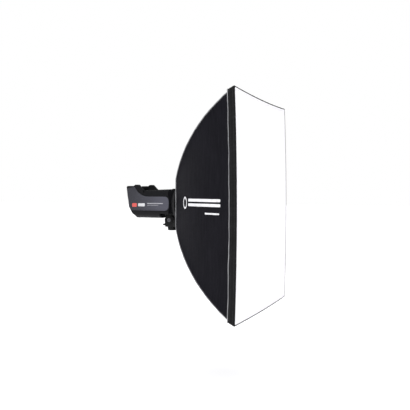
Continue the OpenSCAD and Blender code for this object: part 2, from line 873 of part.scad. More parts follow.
// Piping over the corner edges, round the rear hem and behind the front band
module seam_piping() {
    pipe_r = 1.5;
    color([0.45, 0.45, 0.47]) {
        for (sy = [-1, 1], sz = [-1, 1])
            corner_bar(sy, sz, rod_bend_r + 2.7, pipe_r, beta_rear, beta_front - 0.3);
        for (loop = [[rear_x - 1.9, rear_rho - 1.5], [band_x - 1.6, rho_front - 10]]) on_axis() {
            hw = k_w * loop[1];
            hh = k_h * loop[1];
            for (s = [-1, 1]) {
                translate([loop[0], 0, s * hh]) bar_y(-hw + 4, hw - 4, pipe_r);
                translate([loop[0], s * hw, -hh + 4]) cylinder(h = 2 * hh - 8, r = pipe_r);
            }
        }
    }
}

bracket_yoke();
tilt_bolt();
tilt_rosettes();
tilt_lever();
stand_screw();
tilt_lug();
lug_screws();
upper_shell();
lower_shell();
side_panel(1);  // side_panel_left
side_panel(-1);  // side_panel_right
handle_grip();
control_panel();
inlet_panel();
display_window();
front_ring();
bayonet_ring();
reflector_plate();
flash_tube();
tube_sockets();
modelling_lamp();
lamp_holder();
chassis_tray();
capacitor_bank();
circuit_board();
fan_frame();
fan_rotor();
fuse_cap();
mains_inlet();
sync_socket();
sensor_dome();
housing_screws();
power_dial();
push_button(button_places()[0]);  // test_button
push_button(button_places()[1]);  // lamp_button
push_button(button_places()[2]);  // sound_button
push_button(button_places()[3]);  // slave_button
power_rocker();
bayonet_latch();
ring_insert();
insert_retainer();
retainer_screws();
speedring();
rear_flap();
rod(1, 1);  // rod_upper_left
rod(-1, 1);  // rod_upper_right
rod(1, -1);  // rod_lower_left
rod(-1, -1);  // rod_lower_right
rod_tips();
panel_top();
panel_bottom();
panel_left();
panel_right();
front_band();
front_diffuser();
inner_diffuser();
diffuser_straps();
seam_piping();
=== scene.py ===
# A rectangular softbox on its studio flash head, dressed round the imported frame.
# Metres throughout: +X is the way the light goes, +Y the left-hand side and +Z up.

import math

import bpy
import numpy as np
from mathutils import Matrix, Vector


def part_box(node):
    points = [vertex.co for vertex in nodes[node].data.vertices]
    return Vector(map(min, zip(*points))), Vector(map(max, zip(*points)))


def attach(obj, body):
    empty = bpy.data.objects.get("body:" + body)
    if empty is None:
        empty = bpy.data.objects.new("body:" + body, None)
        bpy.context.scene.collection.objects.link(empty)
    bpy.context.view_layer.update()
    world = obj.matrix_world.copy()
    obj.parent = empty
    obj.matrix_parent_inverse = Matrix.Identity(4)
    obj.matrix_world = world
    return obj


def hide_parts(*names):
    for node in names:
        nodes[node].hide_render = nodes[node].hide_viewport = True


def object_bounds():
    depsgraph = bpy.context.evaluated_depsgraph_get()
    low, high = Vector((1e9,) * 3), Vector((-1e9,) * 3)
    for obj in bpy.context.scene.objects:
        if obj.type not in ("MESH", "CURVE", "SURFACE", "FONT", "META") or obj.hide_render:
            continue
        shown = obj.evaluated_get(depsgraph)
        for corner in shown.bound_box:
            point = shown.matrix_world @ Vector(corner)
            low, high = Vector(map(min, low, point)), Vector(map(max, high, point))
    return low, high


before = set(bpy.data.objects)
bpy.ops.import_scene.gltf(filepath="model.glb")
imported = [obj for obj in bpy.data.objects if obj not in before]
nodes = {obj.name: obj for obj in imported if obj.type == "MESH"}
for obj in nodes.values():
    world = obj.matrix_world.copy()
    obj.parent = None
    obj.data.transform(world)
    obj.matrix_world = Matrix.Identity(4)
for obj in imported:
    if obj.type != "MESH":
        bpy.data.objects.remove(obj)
cadLow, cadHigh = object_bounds()
scene = bpy.context.scene

# Camera

cameraSet = {
    "place": (1.0692, -2.0777, 0.158),
    "turn": 23.95,  # degrees round Z, away from looking along +Y
    "lens": 50.35,
    "sensor": 36.0,
    "shiftUp": -0.0334,
    "farClip": 60.0,
}


def placeCamera(values):
    data = bpy.data.cameras.new("camera")
    data.lens = values["lens"]
    data.sensor_width = values["sensor"]
    data.shift_y = values["shiftUp"]
    data.clip_end = values["farClip"]
    camera = bpy.data.objects.new("camera", data)
    camera.location = values["place"]
    camera.rotation_euler = (math.radians(90), 0, math.radians(values["turn"]))
    scene.collection.objects.link(camera)
    scene.camera = camera


placeCamera(cameraSet)
print("camera placed")

# Shader kit


class Link:  # one socket of a finish; arithmetic on it adds Math nodes
    def __init__(self, finish, socket):
        self.finish = finish
        self.socket = socket

    def math(self, operation, *others):
        inputs = dict(enumerate((self, *others)))
        return self.finish.node("ShaderNodeMath", {"operation": operation}, inputs)

    def __add__(self, other):
        return self.math("ADD", other)

    def __sub__(self, other):
        return self.math("SUBTRACT", other)

    def __rsub__(self, other):
        return self.finish.node("ShaderNodeMath", {"operation": "SUBTRACT"}, {0: other, 1: self})

    def __mul__(self, other):
        return self.math("MULTIPLY", other)

    def __pow__(self, other):
        return self.math("POWER", other)

    __radd__ = __add__
    __rmul__ = __mul__


class Finish:  # one material, built round a Principled shader
    def __init__(self, name, **constants):
        self.material = bpy.data.materials.new(name)
        self.material.use_nodes = True
        self.tree = self.material.node_tree
        self.tree.nodes.clear()
        self.shader = self.tree.nodes.new("ShaderNodeBsdfPrincipled")
        end = self.tree.nodes.new("ShaderNodeOutputMaterial")
        self.tree.links.new(self.shader.outputs[0], end.inputs["Surface"])
        self.give(**constants)

    def feed(self, socket, value):
        if isinstance(value, Link):
            self.tree.links.new(value.socket, socket)
        else:
            socket.default_value = value

    def node(self, kind, settings=None, inputs=None, output=0):
        made = self.tree.nodes.new(kind)
        for key, value in (settings or {}).items():
            setattr(made, key, value)
        for key, value in (inputs or {}).items():
            self.feed(made.inputs[key], value)
        return Link(self, made.outputs[output])

    def give(self, **values):  # camelCase names of the shader's own sockets
        sockets = {entry.name.replace(" ", "").lower(): entry for entry in self.shader.inputs}
        for key, value in values.items():
            if isinstance(value, tuple) and len(value) == 3:
                value = (*value, 1)
            self.feed(sockets[key.lower()], value)
        return self

    def place(self):
        return self.node("ShaderNodeTexCoord", output="Object")

    def cloth(self):
        return self.node("ShaderNodeUVMap", {"uv_map": "cloth"})

    def axes(self, vector):
        parts = self.node("ShaderNodeSeparateXYZ", inputs={0: vector}).socket.node
        return [Link(self, parts.outputs[n]) for n in range(3)]

    def noise(self, vector, scale, detail=3.0, rough=0.55):
        return self.node(
            "ShaderNodeTexNoise",
            inputs={"Vector": vector, "Scale": scale, "Detail": detail, "Roughness": rough},
        )

    def stretched(self, vector, scale):
        return self.node("ShaderNodeMapping", inputs={"Vector": vector, "Scale": scale})

    def ramp(self, value, low, high, lowOut=0.0, highOut=1.0):
        return self.node(
            "ShaderNodeMapRange",
            {"interpolation_type": "SMOOTHSTEP"},
            {"Value": value, "From Min": low, "From Max": high, "To Min": lowOut, "To Max": highOut},
        )

    def mix(self, share, first, second):
        first, second = [(*c, 1) if isinstance(c, tuple) and len(c) == 3 else c for c in (first, second)]
        return self.node("ShaderNodeMix", {"data_type": "RGBA"}, {0: share, 6: first, 7: second}, output=2)

    def bump(self, height, depth, under=None, strength=1.0):
        inputs = {"Height": height, "Distance": depth, "Strength": strength}
        if under is not None:
            inputs["Normal"] = under
        return self.node("ShaderNodeBump", inputs=inputs)

    def softEdges(self, radius):
        return self.node("ShaderNodeBevel", {"samples": 6}, {"Radius": radius})

    def edgeWear(self, soft):  # 0 on flats, towards 1 where an edge turns
        flat = self.node("ShaderNodeNewGeometry", output="Normal")
        dot = {"operation": "DOT_PRODUCT"}
        facing = self.node("ShaderNodeVectorMath", dot, {0: soft, 1: flat}, "Value")
        return self.ramp(1 - facing, 0.02, 0.3)


def times(colour, share, more=0.0):
    return tuple(c * share + more for c in colour)


# Finishes of the flash head and its bracket

plasticSet = {
    "grain": 2600.0,  # noise scale of the moulded texture
    "grainDepth": 0.00006,
    "mottle": 34.0,
    "wearShade": 2.6,
}


def mouldedPlastic(name, colour, rough, gloss=0.3, edge=0.0006, depth=1.0):
    finish = Finish(name, specularIorLevel=gloss)
    place = finish.place()
    soft = finish.softEdges(edge)
    grain = finish.noise(place, plasticSet["grain"], 2.0)
    mottle = finish.noise(place, plasticSet["mottle"], 4.0)
    scuff = finish.noise(finish.stretched(place, (60, 60, 420)), 3.0, 5.0)
    worn = finish.edgeWear(soft) * finish.ramp(scuff, 0.4, 0.75)
    light = tuple(min(1, c) for c in times(colour, plasticSet["wearShade"], 0.01))
    base = finish.mix(finish.ramp(mottle, 0.3, 0.7), times(colour, 0.8), colour)
    finish.give(
        baseColor=finish.mix(worn * 0.6, base, light),
        roughness=finish.ramp(mottle + grain * 0.3, 0.3, 1.0, rough - 0.06, rough + 0.1),
        normal=finish.bump(grain, plasticSet["grainDepth"] * depth, soft),
    )
    return finish.material


def satinInsert(name, colour):  # painted side insert with a faint metal flake
    finish = Finish(name, specularIorLevel=0.35, coatWeight=0.06, coatRoughness=0.25)
    place = finish.place()
    soft = finish.softEdges(0.0007)
    flake = finish.node("ShaderNodeTexVoronoi", inputs={"Vector": place, "Scale": 5200.0}, output="Color")
    sparkle = finish.axes(flake)[0]
    cloud = finish.noise(place, 18.0, 3.0)
    # painted highlight: the insert's colour goes from dark at the rear to much lighter towards the front,
    # where the light falls on it
    forward = finish.ramp(finish.axes(place)[0] + cloud * 0.05, -0.15, 0.05)
    base = finish.mix(forward, times(colour, 0.62), times(colour, 1.9))
    finish.give(
        baseColor=finish.mix(finish.ramp(sparkle, 0.8, 1.0) * 0.14, base, (0.3, 0.3, 0.34)),
        roughness=finish.ramp(sparkle + cloud * 0.4, 0.2, 1.2, 0.34, 0.46),
        normal=finish.bump(finish.noise(place, 1500.0, 2.0), 0.00002, soft),
    )
    return finish.material


speckleSet = {  # noises as scale and detail; rough as noise low, high and the roughness's spread
    "rubber": {"broad": (55.0, 5.0), "fine": (1900.0, 3.0), "blend": (0.5, 0.85, 0.0, 0.5),
               "rough": (0.2, 0.8, 0.23), "depth": 0.00012, "edge": 0.0005},
    "smoked": {"broad": (60.0, 5.0), "rough": (0.3, 0.8, 0.14)},
    "frosted": {"broad": (40.0, 3.0), "fine": (1400.0, 3.0), "rough": (0.2, 0.8, 0.17), "depth": 0.00003},
    "glazed": {"broad": (45.0, 4.0), "fine": (900.0, 4.0), "blend": (0.3, 0.8),
               "rough": (0.3, 0.7, 0.15), "depth": 0.00003, "edge": 0.0004},
    "piping": {"broad": (35.0, 4.0), "fine": (1100.0, 2.0), "stir": 0.3, "blend": (0.4, 0.9),
               "rough": (0.3, 0.7, 0.18), "depth": 0.0002},
    "thread": {"broad": (2600.0, 2.0), "rough": (0.3, 0.7, 0.15), "depth": 0.00006},
    "ink": {"broad": (60.0, 3.0), "fine": (700.0, 5.0), "stir": 0.3, "blend": (0.35, 0.8),
            "rough": (0.3, 0.7, 0.2), "depth": 0.00004},
}


def speckled(name, kind, first, second, rough, **constants):
    # a broad noise mixes two tones; a fine one moves the roughness and the bump
    values = speckleSet[kind]
    finish = Finish(name, **constants)
    place = finish.place()
    broad = finish.noise(place, *values["broad"])
    fine = finish.noise(place, *values["fine"]) if "fine" in values else broad
    shade = broad + fine * values["stir"] if "stir" in values else broad
    if "blend" in values:
        shade = finish.ramp(shade, *values["blend"])
    low, high, spread = values["rough"]
    finish.give(
        baseColor=finish.mix(shade, first, second),
        roughness=finish.ramp(fine, low, high, rough, rough + spread),
    )
    if "depth" in values:
        under = finish.softEdges(values["edge"]) if "edge" in values else None
        finish.give(normal=finish.bump(fine, values["depth"], under))
    return finish.material


def platedMetal(name, colour, rough, streak=(30, 900, 900), edge=0.0003):
    finish = Finish(name, metallic=1.0)
    place = finish.place()
    lines = finish.noise(finish.stretched(place, streak), 1.0, 4.0)
    stain = finish.noise(place, 120.0, 4.0)
    finish.give(
        baseColor=finish.mix(finish.ramp(stain, 0.35, 0.8), colour, times(colour, 0.6)),
        roughness=finish.ramp(lines + stain * 0.5, 0.3, 1.2, rough - 0.08, rough + 0.14),
        normal=finish.bump(lines, 0.00003, finish.softEdges(edge)),
    )
    return finish.material


def turnedMetal(name, colour, rough, axisZ):  # lathe rings round the light's axis
    finish = Finish(name, metallic=1.0)
    place = finish.place()
    _, y, z = finish.axes(place)
    radius = (y * y + (z - axisZ) * (z - axisZ)) ** 0.5
    rings = (radius * 9500.0).math("SINE") * 0.5 + 0.5
    stain = finish.noise(place, 90.0, 4.0)
    finish.give(
        baseColor=finish.mix(finish.ramp(stain, 0.3, 0.8), colour, times(colour, 0.72)),
        roughness=finish.ramp(stain, 0.2, 0.8, rough - 0.05, rough + 0.12),
        normal=finish.bump(rings, 0.000012, finish.softEdges(0.0004)),
    )
    return finish.material


def powderCoat(name, colour):
    finish = Finish(name, specularIorLevel=0.22)
    place = finish.place()
    peel = finish.noise(place, 850.0, 2.0)
    soft = finish.softEdges(0.0007)
    chips = finish.noise(place, 160.0, 6.0)
    bare = finish.edgeWear(soft) * finish.ramp(chips, 0.58, 0.7)
    finish.give(
        baseColor=finish.mix(bare, colour, (0.34, 0.34, 0.35)),
        metallic=bare * 0.8,
        roughness=finish.ramp(peel, 0.3, 0.7, 0.46, 0.6),
        normal=finish.bump(peel, 0.00008, soft),
    )
    return finish.material


def smokedGlass(name, colour):
    clear = {"specularIorLevel": 0.6, "coatWeight": 0.6, "coatRoughness": 0.03}
    return speckled(name, "smoked", colour, times(colour, 1.6), 0.08, **clear)


def frostedGlass(name, colour):
    return speckled(name, "frosted", colour, times(colour, 0.9), 0.28, transmissionWeight=0.55, ior=1.46)


def glazed(name, colour, rough=0.25):  # ceramic, sleeves and other smooth coloured shells
    coat = {"coatWeight": 0.3, "coatRoughness": 0.15}
    return speckled(name, "glazed", colour, times(colour, 0.8), rough, **coat)


def brightSheet(name, colour):  # rolled reflector sheet
    finish = Finish(name, metallic=1.0)
    place = finish.place()
    dimple = finish.node("ShaderNodeTexVoronoi", inputs={"Vector": place, "Scale": 420.0})
    cloud = finish.noise(place, 50.0, 3.0)
    finish.give(
        baseColor=finish.mix(cloud, colour, times(colour, 0.9)),
        roughness=finish.ramp(cloud, 0.3, 0.8, 0.16, 0.3),
        normal=finish.bump(dimple, 0.00012),
    )
    return finish.material


def circuitBoard(name, colour):
    finish = Finish(name, coatWeight=0.3)
    place = finish.place()
    tracks = finish.node(
        "ShaderNodeTexBrick",
        inputs={"Vector": place, "Scale": 160.0, "Mortar Size": 0.06},
        output="Fac",
    )
    finish.give(
        baseColor=finish.mix(tracks, colour, (0.3, 0.42, 0.2)),
        roughness=finish.ramp(finish.noise(place, 300.0), 0.3, 0.7, 0.35, 0.5),
        normal=finish.bump(tracks, 0.00005),
    )
    return finish.material


# Finishes of the cloth parts; the map called cloth is in metres along and across the piece

weaveSet = {
    "pitch": 0.00055,  # one thread and its gap
    "depth": 0.00005,
    "streak": 0.012,
}


def weave(along, across, pitch):  # plain weave, one where a thread rides over
    turn = 2 * math.pi / pitch
    return (along * turn).math("SINE") * (across * turn).math("SINE") * 0.5 + 0.5


def wovenCloth(name, dark, light, rough=0.78, gloss=0.1, sheen=0.05, streaks=1.0):
    finish = Finish(name, specularIorLevel=gloss, sheenWeight=sheen, sheenRoughness=0.45)
    cloth = finish.cloth()
    along, across, _ = finish.axes(cloth)
    threads = weave(along, across, weaveSet["pitch"])
    slub = finish.noise(finish.stretched(cloth, (1 / weaveSet["streak"], 9, 1)), 1.6, 5.0, 0.65)
    cloud = finish.noise(cloth, 7.0, 4.0)
    lint = finish.noise(cloth, 900.0, 2.0)
    shade = finish.ramp(slub * 0.6 + cloud * 0.4, 0.36, 0.66) * (0.75 + threads * 0.25)
    ridges = slub * 5.0 * streaks + threads
    finish.give(
        baseColor=finish.mix(shade, dark, light),
        roughness=finish.ramp(lint + cloud, 0.6, 1.4, rough - 0.08, min(1.0, rough + 0.08)),
        normal=finish.bump(ridges, weaveSet["depth"]),
    )
    return finish.material


def silverLining(name):
    finish = Finish(name, specularIorLevel=0.5)
    cloth = finish.cloth()
    along, across, _ = finish.axes(cloth)
    dimple = finish.node("ShaderNodeTexVoronoi", inputs={"Vector": cloth, "Scale": 240.0})
    creaseAndShade = finish.noise(cloth, 26.0, 5.0)
    threads = weave(along, across, weaveSet["pitch"] * 1.6)
    finish.give(
        # painted shade: the same noise that raises the creases darkens the lining's colour in their hollows
        baseColor=finish.mix(creaseAndShade, (0.62, 0.62, 0.64), (0.8, 0.8, 0.82)),
        metallic=finish.ramp(threads, 0.1, 0.6, 0.7, 0.95),
        roughness=finish.ramp(creaseAndShade, 0.3, 0.7, 0.28, 0.42),
        normal=finish.bump(dimple * 2.0 + creaseAndShade * 4.0 + threads * 0.3, 0.00016),
    )
    return finish.material


def ribbedTape(name, dark, light, rib=0.0016, rough=0.8):  # webbing, binding and elastic
    finish = Finish(name, specularIorLevel=0.2, sheenWeight=0.3, sheenRoughness=0.5)
    cloth = finish.cloth()
    along, across, _ = finish.axes(cloth)
    ribs = (along * (2 * math.pi / rib)).math("SINE") * 0.5 + 0.5
    threads = weave(along, across, 0.0008)
    cloud = finish.noise(cloth, 22.0, 4.0)
    finish.give(
        baseColor=finish.mix(ribs * 0.5 + cloud * 0.5, dark, light),
        roughness=finish.ramp(threads + cloud, 0.4, 1.5, rough - 0.06, rough + 0.1),
        normal=finish.bump(ribs + threads * 0.3, 0.00012),
    )
    return finish.material


def pipingCord(name, dark, light):  # round binding, read on object coordinates
    # painted highlight: the cord's light grey tones stand in for the rim of light the piping catches along
    # the black cloth's edges
    felt = {"specularIorLevel": 0.35, "sheenWeight": 0.35, "sheenRoughness": 0.4}
    return speckled(name, "piping", dark, light, 0.5, **felt)


def sewingThread(name, colour):
    return speckled(name, "thread", times(colour, 0.7), colour, 0.45, specularIorLevel=0.4)


def printedInk(name, colour, rough=0.55):
    return speckled(name, "ink", times(colour, 0.82), colour, rough, specularIorLevel=0.3)


ringLow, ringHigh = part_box("front_ring")
axisZ = (ringLow.z + ringHigh.z) / 2

finishes = {
    "shell_plastic": mouldedPlastic("shellPlastic", (0.0055, 0.0055, 0.0068), 0.5, 0.13),
    "insert_plastic": satinInsert("insertPlastic", (0.034, 0.034, 0.045)),
    "bracket_black": mouldedPlastic("bracketBlack", (0.005, 0.005, 0.0055), 0.42, 0.2),
    "grip_rubber": speckled(
        "gripRubber", "rubber", (0.005, 0.005, 0.005), (0.021, 0.021, 0.021), 0.62, specularIorLevel=0.12),
    "control_face": mouldedPlastic("controlFace", (0.012, 0.012, 0.014), 0.36, 0.3, depth=0.4),
    "display_glass": smokedGlass("displayGlass", (0.012, 0.017, 0.02)),
    "plated_steel": platedMetal("platedSteel", (0.13, 0.13, 0.14), 0.4),
    "dark_steel": platedMetal("darkSteel", (0.12, 0.12, 0.125), 0.42),
    "cast_metal": turnedMetal("castMetal", (0.66, 0.66, 0.68), 0.28, axisZ),
    "coated_metal": powderCoat("coatedMetal", (0.011, 0.011, 0.012)),
    "reflector": brightSheet("reflectorSheet", (0.86, 0.86, 0.87)),
    "tube_glass": frostedGlass("tubeGlass", (0.96, 0.96, 0.93)),
    "lamp_glass": frostedGlass("lampGlass", (0.97, 0.94, 0.86)),
    "ceramic": glazed("ceramic", (0.86, 0.84, 0.78)),
    "board": circuitBoard("circuitBoard", (0.02, 0.12, 0.05)),
    "can_sleeve": glazed("canSleeve", (0.02, 0.04, 0.15), 0.3),
    "button_grey": mouldedPlastic("buttonGrey", (0.42, 0.42, 0.44), 0.5, 0.4),
    "sensor_red": smokedGlass("sensorRed", (0.22, 0.008, 0.008)),
    "rod_fibre": platedMetal("rodSteel", (0.6, 0.6, 0.58), 0.35),
    "shell_fabric": wovenCloth(
        "shellCloth", (0.0038, 0.0036, 0.006), (0.009, 0.0085, 0.0122), gloss=0.07, sheen=0.025),
    "band_fabric": wovenCloth("bandCloth", (0.006, 0.006, 0.0065), (0.012, 0.012, 0.0125), streaks=0.6),
    # painted highlight: light grey piping tones in place of the rim light on the black cloth's edge
    "piping_fabric": pipingCord("pipingClothPaintedRimLight", (0.16, 0.16, 0.17), (0.3, 0.3, 0.31)),
    "diffuser_fabric": wovenCloth(
        "diffuserCloth", (0.9, 0.888, 0.915), (0.93, 0.922, 0.942), 0.85, 0.2, 0.1, streaks=0.12),
    "elastic": ribbedTape("elasticTape", (0.008, 0.008, 0.008), (0.03, 0.03, 0.03)),
}
liningFinish = silverLining("silverLining")
blackThread = sewingThread("blackThread", (0.035, 0.035, 0.038))
whiteThread = sewingThread("whiteThread", (0.86, 0.86, 0.88))
whiteInk = printedInk("whiteInk", (0.86, 0.86, 0.88))
badgeInk = printedInk("badgeInk", (0.6, 0.6, 0.62))
paleInk = printedInk("paleInk", (0.4, 0.4, 0.43))
redInk = printedInk("redInk", (0.62, 0.1, 0.09), 0.35)

for cadNode in nodes.values():
    for entry in cadNode.material_slots:
        entry.material = finishes[entry.material.name.split(".")[0]]
print("finishes laid on", len(nodes), "nodes")

# Form of the softbox, from the frame and a few of its driving sizes

faceLow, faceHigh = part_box("front_diffuser")
bandLow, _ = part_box("front_band")
topLow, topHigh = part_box("panel_top")

boxForm = {
    "bendRadius": 0.873,  # the corner seams' arc
    "rearCorner": 0.117,  # distance of the rear hem's corner from the light's axis
    "endBow": 0.004,  # how far the top and bottom edges stand forward in the middle
    "sideBow": 0.007,  # the same of the two upright edges
    "topSag": 0.008,
    "bottomSag": 0.0015,
    "wander": 0.0007,  # how unevenly the band's rear edge is sewn
    "lipSide": 0.006,  # band's own edge that shows round the white front
    "lipEnd": 0.0023,
    "cornerBend": 0.0045,
    "rimOut": 0.002,  # how far the fold of the band stands outside the face
}
halfFace = (faceHigh.y, (faceHigh.z - faceLow.z) / 2)
faceCorner = math.hypot(*halfFace)
wideShare = halfFace[0] / faceCorner
highShare = halfFace[1] / faceCorner
faceX = faceHigh.x
bandX = bandLow.x
rearX = topLow.x
frontCorner = (topHigh.z - axisZ) / highShare


def arcCentre():
    start = Vector((rearX, boxForm["rearCorner"]))
    end = Vector((bandX, frontCorner))
    chord = end - start
    across = Vector((chord.y, -chord.x)).normalized()
    reach = math.sqrt(boxForm["bendRadius"] ** 2 - (chord.length / 2) ** 2)
    return (start + end) / 2 + across * reach


bendCentre = arcCentre()
rearAngle = math.asin((boxForm["rearCorner"] - bendCentre.y) / boxForm["bendRadius"])
frontAngle = math.asin((frontCorner - bendCentre.y) / boxForm["bendRadius"])
wallLength = boxForm["bendRadius"] * (frontAngle - rearAngle)

# Each wall: turn round the axis, its own share and the share across it
wallSides = {
    "Top": (0, highShare, wideShare),
    "Right": (90, wideShare, highShare),
    "Bottom": (180, highShare, wideShare),
    "Left": (270, wideShare, highShare),
}


def stacked(*parts):
    return np.stack(np.broadcast_arrays(*parts), -1)


def gridShares(rows, cols, first=-1.0):  # shares down the rows, from first to 1, and over the columns
    return np.linspace(first, 1, rows)[:, None], np.linspace(-1, 1, cols)[None, :]


def turned(x, across, out, turn):
    angle = np.radians(turn)
    y = across * np.cos(angle) - out * np.sin(angle)
    z = across * np.sin(angle) + out * np.cos(angle)
    return stacked(x, y, z + axisZ)


def arcAt(share, lift=0.0):  # share 0 at the rear hem and 1 at the band
    angle = rearAngle + (frontAngle - rearAngle) * np.asarray(share, float)
    radius = boxForm["bendRadius"] + lift
    return bendCentre.x - radius * np.cos(angle), bendCentre.y + radius * np.sin(angle)


def edgeShift(spread, turn):  # how the tight front edge leaves its rectangle
    room = 1 - np.asarray(spread, float) ** 2
    upright = np.mod(turn, 180) == 90
    forward = np.where(upright, boxForm["sideBow"], boxForm["endBow"]) * room
    drop = np.where(np.equal(turn, 0), boxForm["topSag"], boxForm["bottomSag"]) * room
    return np.stack([forward, 0 * room, np.where(upright, 0, -drop)], -1)


def waves(place, seed, count, longest, shortest):  # sines with fixed random phases, about one high
    rng = np.random.RandomState(seed)
    total = 0
    for length in np.linspace(longest, shortest, count):
        total = total + np.sin(2 * math.pi * place / length + rng.uniform(0, 2 * math.pi))
    return total / math.sqrt(count)


def smooth(value, low, high):
    share = np.clip((value - low) / (high - low), 0, 1)
    return share * share * (3 - 2 * share)


# Mesh kit


def gridPiece(name, points, cloth, materials, closed=False, outward=None):
    rows, cols = points.shape[:2]
    i, j = np.mgrid[0 : rows - 1, 0 : cols if closed else cols - 1]
    rounds = [(i, j), (i + 1, j), (i + 1, j + 1), (i, j + 1)]
    faces = np.stack([(a * cols + b % cols).ravel() for a, b in rounds], 1)
    flat = points.reshape(-1, 3)
    if outward is not None:
        first = flat[faces]
        facing = np.cross(first[:, 2] - first[:, 0], first[:, 3] - first[:, 1])
        if (facing * outward(first.mean(1))).sum() < 0:
            rounds, faces = rounds[::-1], faces[:, ::-1]
    mesh = bpy.data.meshes.new(name)
    mesh.from_pydata(flat.tolist(), [], faces.tolist())
    layer = mesh.uv_layers.new(name="cloth")
    corners = np.stack([cloth[a, b].reshape(-1, 2) for a, b in rounds], 1)
    layer.data.foreach_set("uv", corners.ravel().astype(np.float32))
    mesh.polygons.foreach_set("use_smooth", [True] * len(mesh.polygons))
    for material in materials:
        mesh.materials.append(material)
    piece = bpy.data.objects.new(name, mesh)
    scene.collection.objects.link(piece)
    return piece


def thicken(piece, thickness, side=-1.0, inner=0):  # side -1 grows inwards, 0 both ways
    wall = piece.modifiers.new("thickness", "SOLIDIFY")
    wall.thickness = thickness
    wall.offset = side
    wall.material_offset = inner
    return piece


def gridNormals(points, outward):
    facing = np.cross(np.gradient(points, axis=0), np.gradient(points, axis=1))
    facing /= np.linalg.norm(facing, axis=2, keepdims=True) + 1e-12
    return facing if (facing * outward(points)).sum() > 0 else -facing


def fromAxis(points):  # the way out from the light's axis
    return points * (0, 1, 1) - (0, 0, axisZ)


def forwards(points):
    return np.broadcast_to((1.0, 0.0, 0.0), points.shape)


def backwards(points):
    return np.broadcast_to((-1.0, 0.0, 0.0), points.shape)


def stepsBetween(coarse, fine):  # weights of a smooth curve through evenly spaced values
    place = np.linspace(0, coarse - 1, fine)
    first = np.clip(place.astype(int), 0, coarse - 2)
    t = place - first
    share = [
        -0.5 * t + t**2 - 0.5 * t**3,
        1 - 2.5 * t**2 + 1.5 * t**3,
        0.5 * t + 2 * t**2 - 1.5 * t**3,
        -0.5 * t**2 + 0.5 * t**3,
    ]
    weights = np.zeros((fine, coarse))
    for n, part in enumerate(share):
        np.add.at(weights, (np.arange(fine), np.clip(first + n - 1, 0, coarse - 1)), part)
    return weights


def finer(field, rows, cols):
    down = stepsBetween(field.shape[0], rows)
    over = stepsBetween(field.shape[1], cols)
    return np.einsum("ai,ijk,bj->abk", down, field, over)


# Cloth under tension, held all round its edge

tensionSet = {
    "frames": 24,
    "quality": 5,
    "pointMass": 0.02,
    "pull": 30.0,
    "shear": 12.0,
    "bend": 0.4,
    "gravity": 0.12,
    "mostMove": 0.009,
}


def hangCloth(name, points, shrink):
    rows, cols = points.shape[:2]
    piece = gridPiece(name, points, np.zeros((rows, cols, 2)), [])
    held = piece.vertex_groups.new(name="held")
    index = np.arange(rows * cols).reshape(rows, cols)
    edge = np.concatenate([index[0], index[-1], index[:, 0], index[:, -1]])
    held.add(sorted(set(edge.tolist())), 1.0, "REPLACE")
    cloth = piece.modifiers.new("tension", "CLOTH").settings
    cloth.quality = tensionSet["quality"]
    cloth.mass = tensionSet["pointMass"]
    cloth.tension_stiffness = tensionSet["pull"]
    cloth.compression_stiffness = tensionSet["pull"]
    cloth.shear_stiffness = tensionSet["shear"]
    cloth.bending_stiffness = tensionSet["bend"]
    cloth.vertex_group_mass = "held"
    cloth.shrink_min = shrink
    cloth.effector_weights.gravity = tensionSet["gravity"]
    return piece


def settle(sheets):  # sheets is {name: (points, shrink)}; gives how far every point moves
    hung = {name: hangCloth(name + "Trial", *values) for name, values in sheets.items()}
    for step in range(1, tensionSet["frames"] + 1):
        scene.frame_set(step)
    moves = {}
    graph = bpy.context.evaluated_depsgraph_get()
    for name, piece in hung.items():
        start = sheets[name][0]
        found = np.zeros(start.size, np.float32)
        piece.evaluated_get(graph).data.vertices.foreach_get("co", found)
        move = found.reshape(start.shape) - start
        size = np.linalg.norm(move, axis=2, keepdims=True)
        print("  ", name, "moved at most", round(float(size.max()) * 1000, 1), "mm")
        moves[name] = move / np.sqrt(1 + (size / tensionSet["mostMove"]) ** 2)
        mesh = piece.data
        bpy.data.objects.remove(piece)
        bpy.data.meshes.remove(mesh)
    scene.frame_set(1)
    return moves


wallSet = {
    "coarse": (41, 57),
    "fine": (151, 181),
    "shrink": 0.02,
    "cloth": 0.0011,
    "pucker": 0.0005,  # ripple beside the corner seams
    "puckerPitch": 0.013,
    "puckerReach": 0.016,
    "fold": 0.00013,  # soft upright folds in the tight cloth
    "foldPitch": (0.11, 0.022),
    "gather": 0.0011,  # fullness drawn in at the rear hem
    "gatherPitch": (0.05, 0.017),
    "gatherReach": 0.045,
    "hemRoll": 0.0012,
}


def wallGrid(side, rows, cols, lift=0.0):
    turn, own, other = wallSides[side]
    share, spread = gridShares(rows, cols, 0.0)
    x, corner = arcAt(share, lift)
    return turned(x, other * corner * spread, own * corner, turn)


faceSet = {
    "coarse": (41, 55),
    "fine": (121, 161),
    "shrink": 0.012,
    "dome": 0.0035,
    "cloth": 0.0009,
    "pull": 0.0005,
    "pullReach": 0.11,
    "ripple": 0.0003,
    "hem": 0.0007,
    "hemWide": 0.0105,
}


def faceGrid(rows, cols, x, halfY, halfZ, dome):
    wide, high = gridShares(rows, cols)
    sideRoom = 1 - high**2
    endRoom = 1 - wide**2
    forward = boxForm["sideBow"] * sideRoom * wide**2 + boxForm["endBow"] * endRoom * high**2
    drop = (boxForm["bottomSag"] + (boxForm["topSag"] - boxForm["bottomSag"]) * (high + 1) / 2) * endRoom
    bulge = x + forward + dome * sideRoom * endRoom
    return stacked(bulge, halfY * wide, axisZ + halfZ * high - drop * high**2)


faceHalf = (halfFace[0] - boxForm["lipSide"], halfFace[1] - boxForm["lipEnd"])
baffleLow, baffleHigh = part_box("inner_diffuser")


